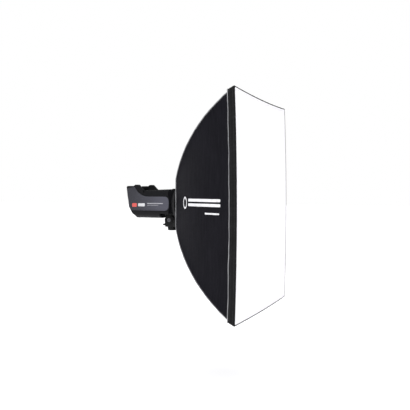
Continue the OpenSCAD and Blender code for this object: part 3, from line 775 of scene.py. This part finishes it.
baffleHalf = (baffleHigh.y, (baffleHigh.z - baffleLow.z) / 2)
baffleSet = {
    "coarse": (31, 41),
    "fine": (61, 81),
    "pinch": 0.012,  # its edges draw in between the straps
    "cloth": 0.0007,
    "ripple": 0.0008,
}


def baffleGrid(rows, cols):
    wide, high = gridShares(rows, cols)
    y = baffleHalf[0] * wide - baffleSet["pinch"] * wide * (1 - high**2)
    z = axisZ + baffleHalf[1] * high - baffleSet["pinch"] * high * (1 - wide**2)
    return stacked((baffleLow.x + baffleHigh.x) / 2, y, z)


sheetsToSettle = {
    "wall" + side: (wallGrid(side, *wallSet["coarse"]), wallSet["shrink"]) for side in wallSides
}
sheetsToSettle["frontDiffuser"] = (
    faceGrid(*faceSet["coarse"], faceX, *faceHalf, faceSet["dome"]),
    faceSet["shrink"],
)
sheetsToSettle["innerDiffuser"] = (baffleGrid(*baffleSet["coarse"]), 0.0)
settled = settle(sheetsToSettle)
print("cloth settled")


def belong(piece, body, slot, *replaced):  # the piece's body, the slot of its look (not used) and what it replaces
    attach(piece, body)
    for node in replaced:
        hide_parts(node)
    return piece


# Walls


def wallSurface(side):
    turn, _, other = wallSides[side]
    rows, cols = wallSet["fine"]
    points = wallGrid(side, rows, cols) + finer(settled["wall" + side], rows, cols)
    share, spread = gridShares(rows, cols, 0.0)
    corner = arcAt(share)[1]
    along = share * wallLength
    across = other * corner * spread
    fromSeam = other * corner * (1 - np.abs(spread))
    calm = smooth(fromSeam, 0, 0.004)  # the seam itself stays on its arc
    seed = 11 + turn
    pitch = wallSet["puckerPitch"]
    pucker = waves(along + 0.004 * np.sign(spread), seed, 4, pitch * 1.6, pitch)
    lift = wallSet["pucker"] * pucker * np.exp(-fromSeam / wallSet["puckerReach"])
    folds = waves(along + 0.010 * np.sin(across * 9 + turn), seed + 1, 5, *wallSet["foldPitch"])
    lift = lift + wallSet["fold"] * folds * smooth(fromSeam, 0, 0.08)
    gathers = waves(across, seed + 2, 4, *wallSet["gatherPitch"])
    fade = np.exp(-along / wallSet["gatherReach"]) * smooth(along, 0.0, 0.012)
    lift = lift + wallSet["gather"] * gathers * fade
    hemRoll = wallSet["hemRoll"] * np.exp(-(((wallLength - along) / 0.006) ** 2))
    points = points + gridNormals(points, fromAxis) * ((lift * calm) + hemRoll * calm)[..., None]
    shift = edgeShift(spread, turn) * 0.9
    points = points + shift * smooth(share, 0.45, 1.0)[..., None]
    return points, stacked(along, across)


wallPoints = {}


def wallFlat(side):  # cut size of one wall down its own middle, and its area between the seams
    _, own, other = wallSides[side]
    x, corner = arcAt(np.linspace(0, 1, 200))
    steps = np.hypot(np.diff(x), own * np.diff(corner))
    widths = 2 * other * corner
    area = ((widths[1:] + widths[:-1]) / 2 * steps).sum()
    return (float(widths.max()), float(steps.sum())), float(area)


for side in wallSides:
    points, cloth = wallSurface(side)
    wallPoints[side] = points
    cloths = [finishes["shell_fabric"], liningFinish]
    piece = gridPiece("wall" + side, points, cloth, cloths, outward=fromAxis)
    thicken(piece, wallSet["cloth"], inner=1)
    belong(piece, "softbox", "shell_fabric", "panel_" + side.lower())
print("walls built")

# Front band

bandSet = {
    "sideCells": 150,
    "cornerCells": 8,
    "cloth": 0.0009,
    "ripple": 0.0004,
    "reach": 0.45,  # about how far the band is from the axis
    "back": 0.0012,  # how far its rear row stands behind the walls' edge
    "rise": 0.0026,  # depth of the rolled rear edge
    "waist": 0.0082,  # how far inside the face's corner the flare starts
    "flareRows": 7,
}


def frameLoop(halfY, halfZ, bend, cells, cornerCells):
    # closed loop round a rounded rectangle: across, out, spread along the side, and the side's turn
    spots = []
    for turn in (0, 90, 180, 270):
        along, out = (halfY, halfZ) if turn % 180 == 0 else (halfZ, halfY)
        for n in range(cells):
            spread = 1 - 2 * n / cells
            spots.append(((along - bend) * spread, out, spread, turn))
        for n in range(cornerCells):
            angle = math.radians(90) * n / cornerCells
            beside = -(along - bend) - bend * math.sin(angle)
            spots.append((beside, out - bend + bend * math.cos(angle), -1, turn))
    return np.array(spots).T


def loopAt(x, corner, bend=None, shift=1.0, sew=0.0, inset=(0.0, 0.0), cells=None):
    halfY = wideShare * corner - inset[0]
    halfZ = highShare * corner - inset[1]
    bend = boxForm["cornerBend"] if bend is None else bend
    cells = cells or bandSet["sideCells"]
    across, out, spread, turn = frameLoop(halfY, halfZ, bend, cells, bandSet["cornerCells"])
    points = turned(x, across, out, turn)
    steps = np.linalg.norm(np.roll(points, -1, 0) - points, axis=1)
    travel = np.concatenate([[0], np.cumsum(steps)[:-1]])
    points = points + edgeShift(spread, turn) * shift
    uneven = waves(travel, 5, 4, 0.33, 0.07) * boxForm["wander"] * (1 - np.abs(spread) ** 6)
    points[:, 0] += uneven * sew
    return points, travel, spread, turn


def bandRows():
    lip = (boxForm["lipSide"], boxForm["lipEnd"])
    rim = boxForm["rimOut"]
    back = bandX - bandSet["back"]
    flareX = back + bandSet["rise"]
    flareCorner = faceCorner - bandSet["waist"]
    rows = [  # x, corner distance, share of the sewing's wander, share of the lip, forward shift
        (back + 0.0004, frontCorner - 0.0006, 0.3, 0, 0.9),
        (back, frontCorner + 0.003, 0.6, 0, 0.9),
        (back, faceCorner - 0.0105, 1, 0, 0.92),
        (back + 0.0008, faceCorner - 0.0088, 1, 0, 0.93),
        (flareX, flareCorner, 0.95, 0, 0.94),
    ]
    for n in range(1, bandSet["flareRows"] + 1):
        share = n / (bandSet["flareRows"] + 1)
        x = flareX + (faceX - 0.003 - flareX) * share
        corner = flareCorner + (0.0080 + rim) * share
        rows.append((x, corner, 0.95 * (1 - share), 0, 0.94 + 0.06 * share))
    rows += [
        (faceX - 0.0012, faceCorner - 0.0001 + rim, 0, 0, 1),
        (faceX - 0.0002, faceCorner - 0.0008 + rim, 0, 0.05, 1),
        (faceX + 0.0003, faceCorner - 0.0012 + rim * 0.5, 0, 0.3, 1),
        (faceX + 0.0003, faceCorner - 0.0012, 0, 0.8, 1),
        (faceX - 0.0008, faceCorner - 0.0012, 0, 0.95, 1),
        (faceX - 0.0040, faceCorner - 0.0012, 0, 1, 1),
    ]
    loops = []
    for x, corner, sew, tuck, shift in rows:
        inset = (lip[0] * tuck, lip[1] * tuck)
        loops.append(loopAt(x, corner, shift=shift, sew=sew, inset=inset))
    return loops


def frontBand():
    loops = bandRows()
    points = np.stack([loop[0] for loop in loops])
    travel = loops[8][1]
    spread = loops[0][2]
    ripple = waves(travel, 8, 4, 0.055, 0.021) * bandSet["ripple"] * (1 - spread**8)
    waist = np.sin(np.linspace(0, math.pi, len(loops))) ** 2
    sway = (ripple[None, :] * waist[:, None])[..., None]
    points = points + fromAxis(points) / bandSet["reach"] * sway
    section = points[:, 40]
    depth = np.cumsum(np.linalg.norm(np.diff(section, axis=0, prepend=section[:1]), axis=1))
    around = np.append(travel, travel[-1] + (travel[-1] - travel[-2]))
    cloth = stacked(around[None, :], depth[:, None])
    look = [finishes["band_fabric"]]
    piece = gridPiece("frontBand", points, cloth, look, closed=True, outward=fromAxis)
    thicken(piece, bandSet["cloth"])
    return piece, points, around[-1], depth[-1]


bandPiece, bandPoints, bandAround, bandDepth = frontBand()
belong(bandPiece, "softbox", "band_fabric", "front_band")
print("band built")

# White front and the inner diffuser


def frontDiffuser():
    rows, cols = faceSet["fine"]
    points = faceGrid(rows, cols, faceX, *faceHalf, faceSet["dome"])
    points = points + finer(settled["frontDiffuser"], rows, cols)
    wide, high = gridShares(rows, cols)
    edge = np.minimum(faceHalf[0] * (1 - np.abs(wide)), faceHalf[1] * (1 - np.abs(high)))
    lift = 0
    for n, (cornerY, cornerZ) in enumerate([(-1, -1), (-1, 1), (1, -1), (1, 1)]):
        y = (wide - cornerY) * faceHalf[0]
        z = (high - cornerZ) * faceHalf[1]
        reach = np.hypot(y, z)
        angle = np.arctan2(np.abs(z), np.abs(y))
        fan = np.sin(angle * 22 + n) + 0.6 * np.sin(angle * 37 + 2 * n)  # faint, from each corner
        fade = np.exp(-reach / faceSet["pullReach"]) * smooth(reach, 0.004, 0.05)
        lift = lift + fan * fade * faceSet["pull"]
    around = wide * faceHalf[0] + high * faceHalf[1]
    lift = lift + faceSet["ripple"] * waves(around, 21, 4, 0.05, 0.019) * np.exp(-edge / 0.02)
    hem = faceSet["hem"] * smooth(faceSet["hemWide"] - edge, 0, 0.0012)  # doubled cloth round the edge
    points[..., 0] += lift * smooth(edge, 0, 0.004) + hem * smooth(edge, 0, 0.0015)
    cloth = stacked(faceHalf[1] * high, faceHalf[0] * wide)
    look = [finishes["diffuser_fabric"]]
    piece = gridPiece("frontDiffuser", points, cloth, look, outward=forwards)
    return thicken(piece, faceSet["cloth"]), points


facePiece, facePoints = frontDiffuser()
belong(facePiece, "softbox", "diffuser_fabric", "front_diffuser")


def innerDiffuser():
    rows, cols = baffleSet["fine"]
    points = baffleGrid(rows, cols) + finer(settled["innerDiffuser"], rows, cols)
    wide, high = gridShares(rows, cols)
    points[..., 0] += baffleSet["ripple"] * waves(wide + high * 1.7, 31, 4, 1.1, 0.3)
    cloth = stacked(baffleHalf[1] * high, baffleHalf[0] * wide)
    look = [finishes["diffuser_fabric"]]
    piece = gridPiece("innerDiffuser", points, cloth, look, outward=forwards)
    return thicken(piece, baffleSet["cloth"], 0.0)


bafflePiece = belong(innerDiffuser(), "softbox", "diffuser_fabric", "inner_diffuser")

strapSet = {"width": 0.012, "start": 0.022, "length": 0.048, "waist": 0.14, "cloth": 0.0011}


def elasticStrap(name, signY, signZ):  # from the baffle's corner out to the rod
    _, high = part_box("diffuser_straps")
    corner = Vector((0, signY * baffleHalf[0], signZ * baffleHalf[1]))
    away = corner.normalized()
    beside = Vector((0, -away.z, away.y))
    share, spread = gridShares(33, 9, 0.0)
    reach = corner.length - strapSet["start"] + strapSet["length"] * share
    side = strapSet["width"] / 2 * spread * (1 - strapSet["waist"] * np.sin(math.pi * share))
    x = high.x - 0.0006 + 0.0007 * np.sin(math.pi * share * 3) * (1 - share)
    y = reach * away.y + side * beside.y
    z = axisZ + reach * away.z + side * beside.z
    cloth = stacked(strapSet["length"] * share, side)
    piece = gridPiece(name, stacked(x, y, z), cloth, [finishes["elastic"]], outward=forwards)
    return belong(thicken(piece, strapSet["cloth"], 0.0), "softbox", "elastic", "diffuser_straps")


strapPieces = [
    elasticStrap("strap" + height + hand, signY, signZ)
    for height, signZ in (("Upper", 1), ("Lower", -1))
    for hand, signY in (("Left", 1), ("Right", -1))
]

# Rear flap round the speedring

flapSet = {
    "hole": 0.0575,
    "rodClear": 0.0082,
    "rodReach": 0.097,  # where the rods' sockets pass through the flap
    "rows": 16,
    "cols": 480,
    "gather": 0.0011,
    "hem": 0.0028,  # sewn under the piping, beyond the plain sheet
    "cloth": 0.0011,
}


def rearFlap():
    low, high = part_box("rear_flap")
    halfY = high.y + flapSet["hem"]
    halfZ = (high.z - low.z) / 2 + flapSet["hem"]
    angle = np.linspace(0, 2 * math.pi, flapSet["cols"], endpoint=False)
    level = np.maximum(np.abs(np.cos(angle)), 1e-6)
    upright = np.maximum(np.abs(np.sin(angle)), 1e-6)
    outer = np.minimum(halfY / level, halfZ / upright)
    rodAngle = math.atan2(highShare, wideShare)
    folded = np.abs(np.arctan2(np.abs(np.sin(angle)), np.abs(np.cos(angle))) - rodAngle)
    clear, reach = flapSet["rodClear"], flapSet["rodReach"]
    side = clear / np.maximum(np.sin(folded), 1e-6)
    inside = np.maximum(clear**2 - (reach * np.sin(folded)) ** 2, 0)
    roundEnd = reach * np.cos(folded) + np.sqrt(inside)
    notch = np.where(side * np.cos(folded) < reach, side, roundEnd)
    inner = np.maximum(flapSet["hole"], np.minimum(notch, outer - 0.004))
    share = np.linspace(0, 1, flapSet["rows"])[:, None]
    radius = inner + (outer - inner) * share
    gather = waves(angle * 9, 41, 4, 2.4, 0.9) * flapSet["gather"]
    x = (low.x + high.x) / 2 + gather * np.sin(math.pi * share) ** 1.5 + 0.0004 * (share < 0.08)
    points = stacked(x, radius * np.cos(angle), axisZ + radius * np.sin(angle))
    turns = np.append(angle, 2 * math.pi)
    wide = np.append(radius, radius[:, :1], axis=1)
    cloth = stacked(wide * np.cos(turns), wide * np.sin(turns))
    look = [finishes["shell_fabric"]]
    piece = gridPiece("rearFlap", points, cloth, look, closed=True, outward=backwards)
    return thicken(piece, flapSet["cloth"], 0.0), points


flapPiece, flapPoints = rearFlap()
belong(flapPiece, "softbox", "shell_fabric", "rear_flap")
print("diffusers, straps and flap built")

# Geometry Nodes: round piping along a path, and stitches along a path


class Tree:  # a Geometry Nodes group with named number inputs
    def __init__(self, name, numbers):
        self.group = bpy.data.node_groups.new(name, "GeometryNodeTree")
        face = self.group.interface
        face.new_socket("Geometry", in_out="INPUT", socket_type="NodeSocketGeometry")
        self.sockets = {}
        for label, value in numbers.items():
            item = face.new_socket(label, in_out="INPUT", socket_type="NodeSocketFloat")
            item.default_value = value
            self.sockets[label] = item.identifier
        face.new_socket("Geometry", in_out="OUTPUT", socket_type="NodeSocketGeometry")
        self.source = self.add("NodeGroupInput")

    def add(self, kind, settings=None, **links):
        made = self.group.nodes.new(kind)
        for key, value in (settings or {}).items():
            setattr(made, key, value)
        for key, value in links.items():
            socket = made.inputs[key.replace("_", " ")]
            if isinstance(value, bpy.types.NodeSocket):
                self.group.links.new(value, socket)
            else:
                socket.default_value = value
        return made

    def close(self, result, material):
        real = self.add("GeometryNodeRealizeInstances", Geometry=result)
        dressed = self.add("GeometryNodeSetMaterial", Geometry=real.outputs[0], Material=material)
        end = self.group.nodes.new("NodeGroupOutput")
        self.group.links.new(dressed.outputs[0], end.inputs[0])


def pipingTree(material):
    tree = Tree("pipingAlongPath", {"Radius": 0.0015})
    curve = tree.add("GeometryNodeMeshToCurve", Mesh=tree.source.outputs["Geometry"])
    radius = tree.source.outputs["Radius"]
    ring = tree.add("GeometryNodeCurvePrimitiveCircle", Resolution=10, Radius=radius)
    tube = tree.add(
        "GeometryNodeCurveToMesh", Curve=curve.outputs[0], Profile_Curve=ring.outputs[0], Fill_Caps=True)
    soft = tree.add("GeometryNodeSetShadeSmooth", Geometry=tube.outputs[0])
    tree.close(soft.outputs[0], material)
    return tree


def stitchTree(material):
    tree = Tree("stitchesAlongPath", {"Pitch": 0.0034, "Stitch": 0.0026, "Thread": 0.0003})
    given = tree.source.outputs
    curve = tree.add("GeometryNodeMeshToCurve", Mesh=given["Geometry"])
    byLength = {"mode": "LENGTH"}
    spots = tree.add("GeometryNodeCurveToPoints", byLength, Curve=curve.outputs[0], Length=given["Pitch"])
    thread = tree.add("GeometryNodeMeshCylinder", Vertices=6, Radius=given["Thread"], Depth=given["Stitch"])
    sewn = tree.add(
        "GeometryNodeInstanceOnPoints",
        Points=spots.outputs["Points"],
        Instance=thread.outputs["Mesh"],
        Rotation=spots.outputs["Rotation"],
    )
    tree.close(sewn.outputs[0], material)
    return tree


def alongPaths(name, paths, tree, slot, numbers=None, replaced=()):
    # paths is a list of (points, closed); the tree's result becomes a plain mesh
    points, edges = [], []
    for path, closed in paths:
        first = len(points)
        points += [tuple(p) for p in path]
        count = len(path)
        edges += [(first + n, first + n + 1) for n in range(count - 1)]
        if closed:
            edges.append((first + count - 1, first))
    guide = bpy.data.meshes.new(name + "Guide")
    guide.from_pydata(points, edges, [])
    carrier = bpy.data.objects.new(name + "Guide", guide)
    scene.collection.objects.link(carrier)
    modifier = carrier.modifiers.new("paths", "NODES")
    modifier.node_group = tree.group
    for label, value in (numbers or {}).items():
        modifier[tree.sockets[label]] = value
    graph = bpy.context.evaluated_depsgraph_get()
    made = bpy.data.meshes.new_from_object(carrier.evaluated_get(graph))
    made.name = name
    bpy.data.objects.remove(carrier)
    piece = bpy.data.objects.new(name, made)
    scene.collection.objects.link(piece)
    return belong(piece, "softbox", slot, *replaced)


piping = pipingTree(finishes["piping_fabric"])
blackStitches = stitchTree(blackThread)
whiteStitches = stitchTree(whiteThread)

pipeSet = {"corner": 0.0016, "hem": 0.0018, "band": 0.0016, "cells": 140}


def cornerSeam(signY, signZ, lift):
    share = np.linspace(0, 1, pipeSet["cells"])
    x, corner = arcAt(share, lift)
    uneven = waves(share * wallLength, 61 + signY + 2 * signZ, 3, 0.15, 0.04) * 0.0004
    corner = corner + uneven
    return np.stack([x, signY * wideShare * corner, axisZ + signZ * highShare * corner], -1)


cornerLines = [(cornerSeam(signY, signZ, 0.0012), False) for signY in (1, -1) for signZ in (1, -1)]
rearLoop = loopAt(rearX - 0.0012, boxForm["rearCorner"] - 0.0008, bend=0.004, shift=0.0, cells=70)[0]
bandLoop = loopAt(bandX - 0.0030, faceCorner - 0.0098, shift=0.92, sew=1.0)[0]
for name, lines, radius in (
    ("pipingCorners", cornerLines, pipeSet["corner"]),
    ("pipingRear", [(rearLoop, True)], pipeSet["hem"]),
    ("pipingBand", [(bandLoop, True)], pipeSet["band"]),
):
    alongPaths(name, lines, piping, "piping_fabric", {"Radius": radius}, ["seam_piping"])
print("piping built")

# Stitches

stitchSet = {"seam": 0.0048, "hem": 0.0085, "lift": 0.00012}


def between(points, row, col):  # a grid's surface at broken row and column numbers
    i = np.clip(row.astype(int), 0, points.shape[0] - 2)
    j = np.clip(col.astype(int), 0, points.shape[1] - 2)
    s, t = (row - i)[..., None], (col - j)[..., None]
    lower = points[i, j] * (1 - t) + points[i, j + 1] * t
    upper = points[i + 1, j] * (1 - t) + points[i + 1, j + 1] * t
    return lower * (1 - s) + upper * s


def onWall(side, along, across):  # a point of a finished wall from metres along and across it
    points = wallPoints[side]
    rows, cols = points.shape[:2]
    other = wallSides[side][2]
    share = np.clip(np.asarray(along, float) / wallLength, 0, 1)
    spread = np.asarray(across, float) / (other * arcAt(share)[1])
    return between(points, share * (rows - 1), np.clip((spread + 1) / 2, 0, 1) * (cols - 1))


def lifted(side, along, across, lift):
    place = onWall(side, along, across)
    own = onWall(side, along + 0.002, across) - onWall(side, along - 0.002, across)
    other = onWall(side, along, across + 0.002) - onWall(side, along, across - 0.002)
    facing = np.cross(own, other)
    facing /= np.linalg.norm(facing, axis=-1, keepdims=True)
    if (facing * fromAxis(place)).sum() < 0:
        facing = -facing
    return place + facing * lift


def wallStitches(side):
    other = wallSides[side][2]
    along = np.linspace(0.006, wallLength - 0.004, 200)
    beside = other * arcAt(along / wallLength)[1] - stitchSet["seam"]
    paths = [(lifted(side, along, sign * beside, stitchSet["lift"]), False) for sign in (1, -1)]
    for line in (stitchSet["hem"], wallLength - stitchSet["hem"]):
        reach = other * float(arcAt(line / wallLength)[1]) - stitchSet["seam"]
        across = np.linspace(-reach, reach, 160)
        paths.append((lifted(side, np.full_like(across, line), across, stitchSet["lift"]), False))
    return paths


wallThreads = {
    side: alongPaths("wallStitches" + side, wallStitches(side), blackStitches, "shell_fabric")
    for side in wallSides
}


def bandStitches():
    paths = []
    for row in (5, len(bandPoints) - 8):
        line = (bandPoints[row] + bandPoints[row + 1]) / 2
        paths.append((line + fromAxis(line) / bandSet["reach"] * 0.0002, True))
    return paths


bandThreads = alongPaths("bandStitches", bandStitches(), blackStitches, "band_fabric")


def faceStitches():
    rows, cols = facePoints.shape[:2]
    inset = stitchSet["hem"]
    row = inset / faceHalf[0] / 2 * (rows - 1)
    col = inset / faceHalf[1] / 2 * (cols - 1)
    across = np.linspace(row, rows - 1 - row, 200)
    down = np.linspace(col, cols - 1 - col, 260)
    sides = [
        (across, np.full_like(across, cols - 1 - col)),
        (np.full_like(down, rows - 1 - row), down[::-1]),
        (across[::-1], np.full_like(across, col)),
        (np.full_like(down, row), down),
    ]
    line = np.concatenate([between(facePoints, *side)[:-1] for side in sides])
    line[:, 0] += 0.0001
    return [(line, True)]


faceThreads = alongPaths("faceStitches", faceStitches(), whiteStitches, "diffuser_fabric")
flapLine = flapPoints[1].copy()
flapLine[:, 0] -= 0.0007
flapThreads = alongPaths(
    "flapStitches", [(flapLine, True)], blackStitches, "shell_fabric", {"Pitch": 0.0042})
print("stitches sewn")

# Printed marks: plain bars on the right wall, a badge and bars on both side inserts


def roundedPatch(length, height, bend, columns=25, rows=7):
    # offsets along and across that fill a rectangle with rounded corners
    along = -np.cos(math.pi * np.linspace(0, 1, columns))[:, None] * length / 2
    over = np.clip(np.abs(along) - (length / 2 - bend), 0, bend)
    half = height / 2 - bend + np.sqrt(bend**2 - over**2)
    return along + np.zeros((1, rows)), half * np.linspace(-1, 1, rows)[None, :]


printSet = {  # centre along the wall and across it, length, height
    "upper": (0.2985, 0.0165, 0.243, 0.0105),
    "lower": (0.2985, -0.0005, 0.243, 0.0105),
    "small": (0.3675, -0.030, 0.091, 0.006),
}
ringPrint = {"centre": (0.137, 0.006), "outer": 0.023, "inner": 0.0165}
printLift = 0.00025
wallLook = ("softbox", "diffuser_fabric")


def markPiece(name, points, offsets, ink, look, closed=False, outward=fromAxis, depth=0.0003):
    body, slot = look
    piece = gridPiece(name, points, offsets, [ink], closed, outward)
    return belong(thicken(piece, depth, 0.0), body, slot)


def wallPrint(name, side, values):
    centre, middle, length, height = values
    along, across = roundedPatch(length, height, min(height, length) * 0.3)
    points = lifted(side, centre + along, middle + across, printLift)
    return markPiece(name, points, stacked(along, across), whiteInk, wallLook)


def wallRing(name, side, values):
    angle = np.linspace(0, 2 * math.pi, 48, endpoint=False)[None, :]
    radius = np.linspace(values["inner"], values["outer"], 4)[:, None]
    along = radius * np.cos(angle)
    across = radius * np.sin(angle)
    points = lifted(side, values["centre"][0] + along, values["centre"][1] + across, printLift)
    cloth = stacked(along, across)
    cloth = np.append(cloth, cloth[:, :1], axis=1)
    return markPiece(name, points, cloth, whiteInk, wallLook, closed=True)


wallPrints = [wallPrint("print" + name.title(), "Right", values) for name, values in printSet.items()]
wallPrints.append(wallRing("printRing", "Right", ringPrint))

badgeSet = {  # centre X, height over the axis, length, height, ink
    "badgeSquare": (-0.1372, -0.0065, 0.0215, 0.0155, redInk),
    "badgeBlock": (-0.1045, -0.0055, 0.031, 0.0125, badgeInk),
    "badgeBar": (-0.0425, 0.0005, 0.071, 0.0032, paleInk),
    "badgeLine": (-0.053, -0.0065, 0.050, 0.0016, paleInk),
}


def sideBadge(name, sign, values):
    x, high, length, height, ink = values
    low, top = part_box("side_panel_left" if sign > 0 else "side_panel_right")
    y = (top.y if sign > 0 else low.y) + sign * 0.0001
    along, across = roundedPatch(length, height, height * 0.2, 21, 5)
    points = stacked(x + along, y, axisZ + high + across)
    look = ("head", "insert_plastic")
    markPiece(name, points, stacked(along, across), ink, look, outward=lambda p: p * (0, 1, 0), depth=0.00045)


for badge, values in badgeSet.items():
    for hand, sign in (("Left", 1), ("Right", -1)):
        sideBadge(badge + hand, sign, values)

controlSet = {
    "middle": (-0.16625, 0.009),  # middle of the control face, X and height over the axis
    "lean": math.atan2(0.0075, 0.042),
    "dial": (0.0, 0.036),  # places are up the face and to its left
    "ticks": 11,
    "sweep": 270.0,
    "tick": (0.0139, 0.0157),
    "tickWide": 0.0006,
    "labelHigh": 0.001,
    "labels": [  # height up the face, place to the left, length
        (0.0026, -0.046, 0.006),
        (0.0026, -0.032, 0.006),
        (-0.0154, -0.046, 0.006),
        (-0.0154, -0.032, 0.006),
        (-0.0092, 0.0125, 0.010),
        (-0.0092, -0.0125, 0.010),
    ],
    "lift": 0.0001,
}


def controlMarks(values):  # ticks round the dial and a plain bar under each button
    corners = []
    for n in range(values["ticks"]):
        angle = math.radians(values["sweep"]) * (n / (values["ticks"] - 1) - 0.5)
        away = np.array([math.cos(angle), math.sin(angle)])
        beside = np.array([-away[1], away[0]]) * values["tickWide"] / 2
        near, far = (np.array(values["dial"]) + away * reach for reach in values["tick"])
        corners += [near - beside, far - beside, far + beside, near + beside]
    for up, left, length in values["labels"]:
        for a, b in ((-1, -1), (-1, 1), (1, 1), (1, -1)):
            corners.append(np.array([up + a * values["labelHigh"] / 2, left + b * length / 2]))
    lean = values["lean"]
    points = []
    for up, left in corners:
        x = values["middle"][0] - up * math.sin(lean) - values["lift"] * math.cos(lean)
        z = axisZ + values["middle"][1] + up * math.cos(lean) - values["lift"] * math.sin(lean)
        points.append((x, left, z))
    mesh = bpy.data.meshes.new("controlMarks")
    mesh.from_pydata(points, [], [tuple(range(n, n + 4)) for n in range(0, len(points), 4)])
    mesh.materials.append(badgeInk)
    piece = bpy.data.objects.new("controlMarks", mesh)
    scene.collection.objects.link(piece)
    belong(thicken(piece, 0.0003, 0.0), "head", "control_face")


controlMarks(controlSet)
print("marks printed")

# Flat cut size and area of each wall, and the rear flap's area; nothing below uses them

for side in wallSides:
    flat, area = wallFlat(side)
    extras = [wallThreads[side]] + (wallPrints if side == "Right" else [])
flapArea = 4 * wideShare * highShare * boxForm["rearCorner"] ** 2 - math.pi * flapSet["hole"] ** 2

# Floor, backdrop and light

roomSet = {
    "floorSize": 60.0,
    "floorShade": (0.9, 0.9, 0.905),
    "floorClear": 0.02,
    "skyShade": (0.36, 0.36, 0.37),
    "backShade": (1.0, 1.0, 1.0),
    "floorGlow": 0.46,
    "sunPower": 2.2,
    "sunFrom": (0.3, -0.45, 0.84),
    "sunWide": 50.0,
}


def paleFloor(values):
    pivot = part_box("tilt_bolt")
    centre = (pivot[0] + pivot[1]) / 2
    ends = [(low, high) for low, high in zip(cadLow, cadHigh)]
    reach = max((Vector((x, y, z)) - centre).length for x in ends[0] for y in ends[1] for z in ends[2])
    height = centre.z - reach - values["floorClear"]  # clear of the softbox at any tilt and turn
    half = values["floorSize"] / 2
    corners = [(x * half, y * half, height) for x, y in ((-1, -1), (1, -1), (1, 1), (-1, 1))]
    mesh = bpy.data.meshes.new("floor")
    mesh.from_pydata(corners, [], [(0, 1, 2, 3)])
    shade = values["floorShade"]
    finish = Finish("floorPaper", roughness=0.95, specularIorLevel=0.1, emissionColor=shade)
    cloud = finish.noise(finish.place(), 0.8, 2.0)
    finish.give(emissionStrength=values["floorGlow"], baseColor=finish.mix(cloud, shade, times(shade, 0.985)))
    mesh.materials.append(finish.material)
    floor = bpy.data.objects.new("floor", mesh)
    scene.collection.objects.link(floor)


def softRoom(values):
    world = bpy.data.worlds.new("room")
    scene.world = world
    world.use_nodes = True
    tree = world.node_tree
    tree.nodes.clear()
    end = tree.nodes.new("ShaderNodeOutputWorld")
    mix = tree.nodes.new("ShaderNodeMixShader")
    path = tree.nodes.new("ShaderNodeLightPath")
    shades = []
    for shade in (values["skyShade"], values["backShade"]):
        back = tree.nodes.new("ShaderNodeBackground")
        back.inputs["Color"].default_value = (*shade, 1)
        shades.append(back)
    tree.links.new(path.outputs["Is Camera Ray"], mix.inputs[0])
    tree.links.new(shades[0].outputs[0], mix.inputs[1])
    tree.links.new(shades[1].outputs[0], mix.inputs[2])
    tree.links.new(mix.outputs[0], end.inputs["Surface"])
    sun = bpy.data.lights.new("softSun", "SUN")
    sun.energy = values["sunPower"]
    sun.angle = math.radians(values["sunWide"])
    lamp = bpy.data.objects.new("softSun", sun)
    lamp.rotation_euler = Vector(values["sunFrom"]).to_track_quat("Z", "Y").to_euler()
    scene.collection.objects.link(lamp)


panelLights = [  # name, place, aim, size, power
    ("sidePanel", (-0.3, -2.6, 1.5), (-0.05, 0, 0.1), 1.6, 20),
    ("rearPanel", (-2.2, 1.6, 1.4), (0.0, 0, 0.1), 1.8, 22),
    ("facePanel", (2.8, -0.4, 0.9), (0.38, 0, 0.1), 2.0, 5.5),
]


def lightPanel(name, place, aim, size, power):
    light = bpy.data.lights.new(name, "AREA")
    light.size = size
    light.energy = power
    lamp = bpy.data.objects.new(name, light)
    lamp.location = place
    lamp.rotation_euler = (Vector(place) - Vector(aim)).to_track_quat("Z", "Y").to_euler()
    scene.collection.objects.link(lamp)


paleFloor(roomSet)
softRoom(roomSet)
for values in panelLights:
    lightPanel(*values)
scene.view_settings.view_transform = "Standard"
print("room lit")
